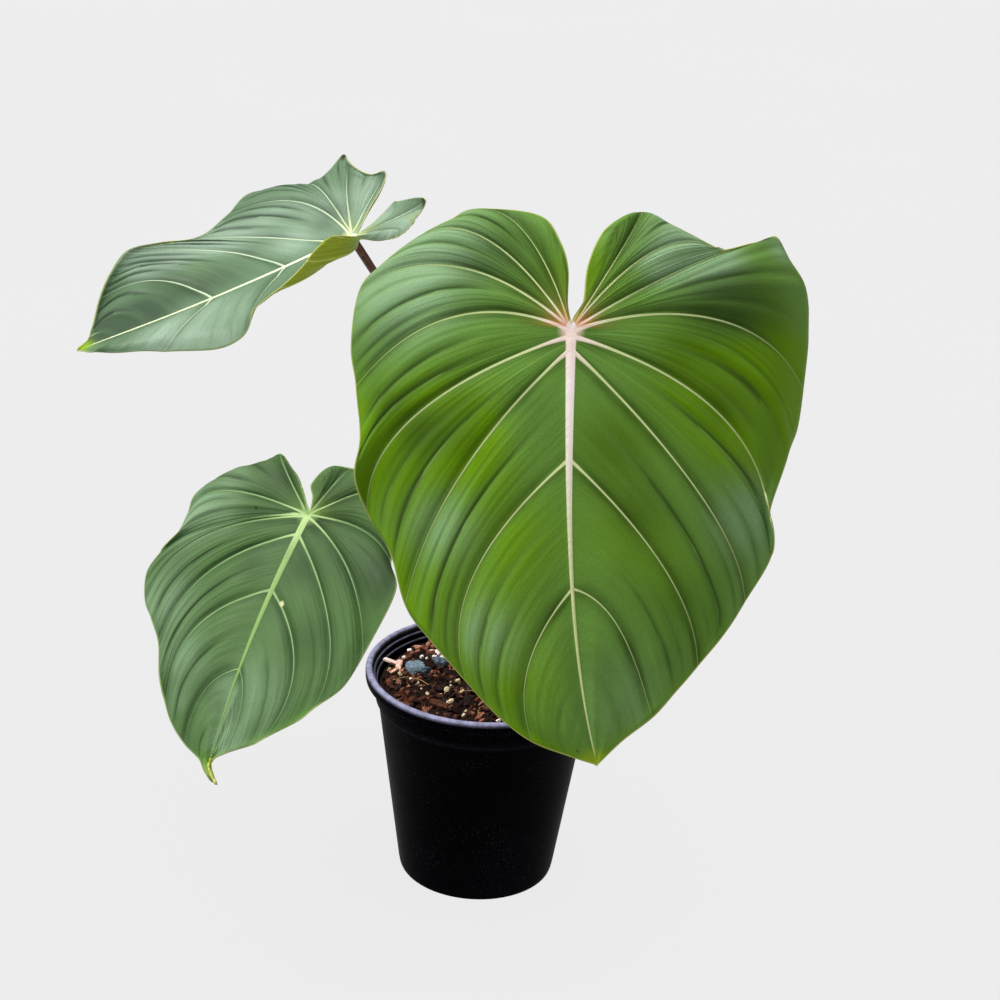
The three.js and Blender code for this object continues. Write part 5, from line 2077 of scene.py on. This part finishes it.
@dataclass
class NurseryPot:
    """Thin black pot with a tapered body, a collar, a rolled lip and drain holes."""

    profile: Table = (
        (20, 0), (49, 0), (50.1, 0.4), (50.5, 1.5), (51.2, 5), (67.2, 119), (67.7, 120), (69, 121.4),
        (69.2, 122), (70, 126), (71.4, 133), (71.6, 134.8), (72.2, 135.3), (74.2, 135), (75, 135.1),
        (75.6, 135.6), (75.85, 136.6), (76, 140.2), (75.8, 141.5), (75.2, 142.4), (74.2, 142.9),
        (73.2, 143), (72.3, 142.8), (71.7, 142.2), (71.4, 141.2), (71, 139.2), (70.7, 138.6),
        (69.9, 138.4), (69.4, 138), (69.2, 137.2), (69, 135.1), (68.8, 134.5), (68.2, 134.3),
        (67.8, 133.9), (67.6, 133), (65.6, 118), (48.9, 3.0), (48.2, 2.4), (20, 2.4),
    )
    segments: int = 144
    drain_holes: int = 8
    drain_radius: float = 4.5
    drain_circle: float = 37.0
    # Its colours are the black ground, the dust and the lavender of the painted highlight.
    plastic: MouldedPolypropylene = MouldedPolypropylene(
        "black_polypropylene", "#020204", "#8b8792", "#9493b0"
    )

    def drill_floor(self, pot: bpy.types.Object) -> None:
        """Cuts the drain holes.

        Args:
            pot: The pot, whose floor is cut through.
        """
        circle = self.drain_circle * MM
        drills = []
        for number in range(self.drain_holes):
            angle = 2 * math.pi * (number + 0.5) / self.drain_holes
            centre = (circle * math.cos(angle), circle * math.sin(angle), 1.2 * MM)
            bpy.ops.object.select_all(action="DESELECT")
            bpy.ops.mesh.primitive_cylinder_add(
                vertices=32, radius=self.drain_radius * MM, depth=8 * MM, location=centre
            )
            drills.append(settle(named(f"drill_{number}")))
        drill = join("drill", drills)
        modify(pot, "BOOLEAN", operation="DIFFERENCE", object=drill, solver="EXACT")
        bpy.data.objects.remove(drill)

    def mark_painted_highlight(self, pot: bpy.types.Object) -> None:
        """Stores how much painted highlight lies on the lip's crest, the two steps inside it and the
        collar's edge.

        Args:
            pot: The pot.
        """
        places = points_of(pot) / MM
        radius, height = np.hypot(places[:, 0], places[:, 1]), places[:, 2]
        crest = smoothstep(140.8, 142.6, height)
        steps = (hill(height - 138.5, 0.3) + hill(height - 134.4, 0.3)) * (radius < 71.2)
        collar = hill(height - 121.7, 0.6) * (radius > 68)
        mark(pot, "painted_lip_highlight", np.clip(crest + 0.35 * steps + 0.02 * collar, 0, 1))

    def build(self) -> bpy.types.Object:
        """Models the moulded shell with its drain holes and its painted highlight.

        Returns:
            The pot.
        """
        pot = turned("pot_shell", self.profile, self.segments)
        tidy(pot, 1e-7)
        self.drill_floor(pot)
        pick(pot)
        bpy.ops.object.shade_smooth_by_angle(angle=math.radians(38))
        self.mark_painted_highlight(pot)
        return pot

    def dress(self) -> None:
        """Builds the pot and puts it in place of its solid."""
        obj = self.build()
        coat(obj, self.plastic)
        show(obj, "pot_plastic", "pot")


# ---------------------------------------------------------------- studio


@dataclass
class Studio:
    """Pale floor, two soft lights, even air and the camera, which looks at its target from a distance."""

    target: Row = (0.0047, 0.0, 0.2597)
    distance: float = 1.376
    elevation: float = 23.3
    roll: float = 2.8
    lens: float = 80.0
    floor_light: float = 0.7
    air_light: float = 0.34

    def add_floor(self) -> None:
        """Pale sheet, lit from within so that it stays even under the plant."""
        bpy.ops.object.select_all(action="DESELECT")
        bpy.ops.mesh.primitive_plane_add(size=8)
        floor = named("studio_floor")
        material, tree, shader = started(
            "pale_light_table",
            Roughness=0.9,
            Specular_IOR_Level=0.0,
            Emission_Color=linear("#fbfbfc"),
            Emission_Strength=self.floor_light,
        )
        place = add(tree, "TexCoord", out="Object")
        tone = add(tree, "TexNoise", {"Vector": place, "Scale": 1.5})
        greys = {0: tone, 6: linear("#5b5b5b"), 7: linear("#575757")}
        colour = add(tree, "Mix", greys, out=2, data_type="RGBA")
        tree.links.new(colour, shader.inputs["Base Color"])
        floor.data.materials.append(material)
        floor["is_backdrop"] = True

    def add_sun(
        self, name: str, place: Row, strength: float, spread: float, tint: str, shadow: bool
    ) -> None:
        """Adds one wide, even light from far away.

        Args:
            name: Its name.
            place: The direction that it comes from.
            strength: Its strength.
            spread: How wide it looks, in degrees.
            tint: Its colour.
            shadow: Whether it casts shadows.
        """
        light = bpy.data.lights.new(name, "SUN")
        light.use_shadow = shadow
        light.energy = strength
        light.angle = math.radians(spread)
        light.color = linear(tint)[:3]
        obj = bpy.data.objects.new(name, light)
        obj.rotation_euler = Vector(place).to_track_quat("Z", "Y").to_euler()
        bpy.context.scene.collection.objects.link(obj)

    def add_camera(self) -> None:
        """Places the camera."""
        elevation, roll = math.radians(self.elevation), math.radians(self.roll)
        ahead = Vector((0, math.cos(elevation), -math.sin(elevation)))
        level_up = Vector((0, math.sin(elevation), math.cos(elevation)))
        right = Vector((math.cos(roll), 0, 0)) + level_up * math.sin(roll)
        up = Vector((-math.sin(roll), 0, 0)) + level_up * math.cos(roll)
        camera = bpy.data.cameras.new("camera")
        camera.lens = self.lens
        camera.sensor_width = 36
        camera.clip_end = 50
        obj = bpy.data.objects.new("camera", camera)
        turn = Matrix((right, up, -ahead)).transposed().to_4x4()
        obj.matrix_world = Matrix.Translation(Vector(self.target) - ahead * self.distance) @ turn
        bpy.context.scene.collection.objects.link(obj)
        bpy.context.scene.camera = obj

    def add_air(self) -> None:
        """Fills the studio with even light."""
        world = bpy.data.worlds.new("studio_air")
        world.use_nodes = True
        background = world.node_tree.nodes["Background"]
        background.inputs["Color"].default_value = linear("#f3f4f6")
        background.inputs["Strength"].default_value = self.air_light
        bpy.context.scene.world = world

    def dress(self) -> None:
        """Sets up the whole studio."""
        self.add_floor()
        self.add_camera()
        self.add_sun(
            "top_light", (-0.5, 0.05, 0.86), strength=4.4, spread=10, tint="#fbfcff", shadow=False
        )
        self.add_sun(
            "soft_box", (0.1, -0.1, 0.97), strength=0.8, spread=110, tint="#fffaf2", shadow=True
        )
        self.add_air()
        bpy.context.scene.view_settings.view_transform = "Standard"


def main() -> None:
    """Builds the plant around its frame and sets up the studio."""
    logging.basicConfig(level=logging.INFO, format="%(name)s: %(message)s")
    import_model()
    solid_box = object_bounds()
    Studio().dress()
    NurseryPot().dress()
    PottingMix().dress()
    Rhizome().dress()
    for petiole in PETIOLES:
        petiole.dress()
    for blade in (FRONT_BLADE, UPPER_BLADE, LOWER_BLADE):
        blade.dress(solid_box)


if __name__ == "__main__":
    main()
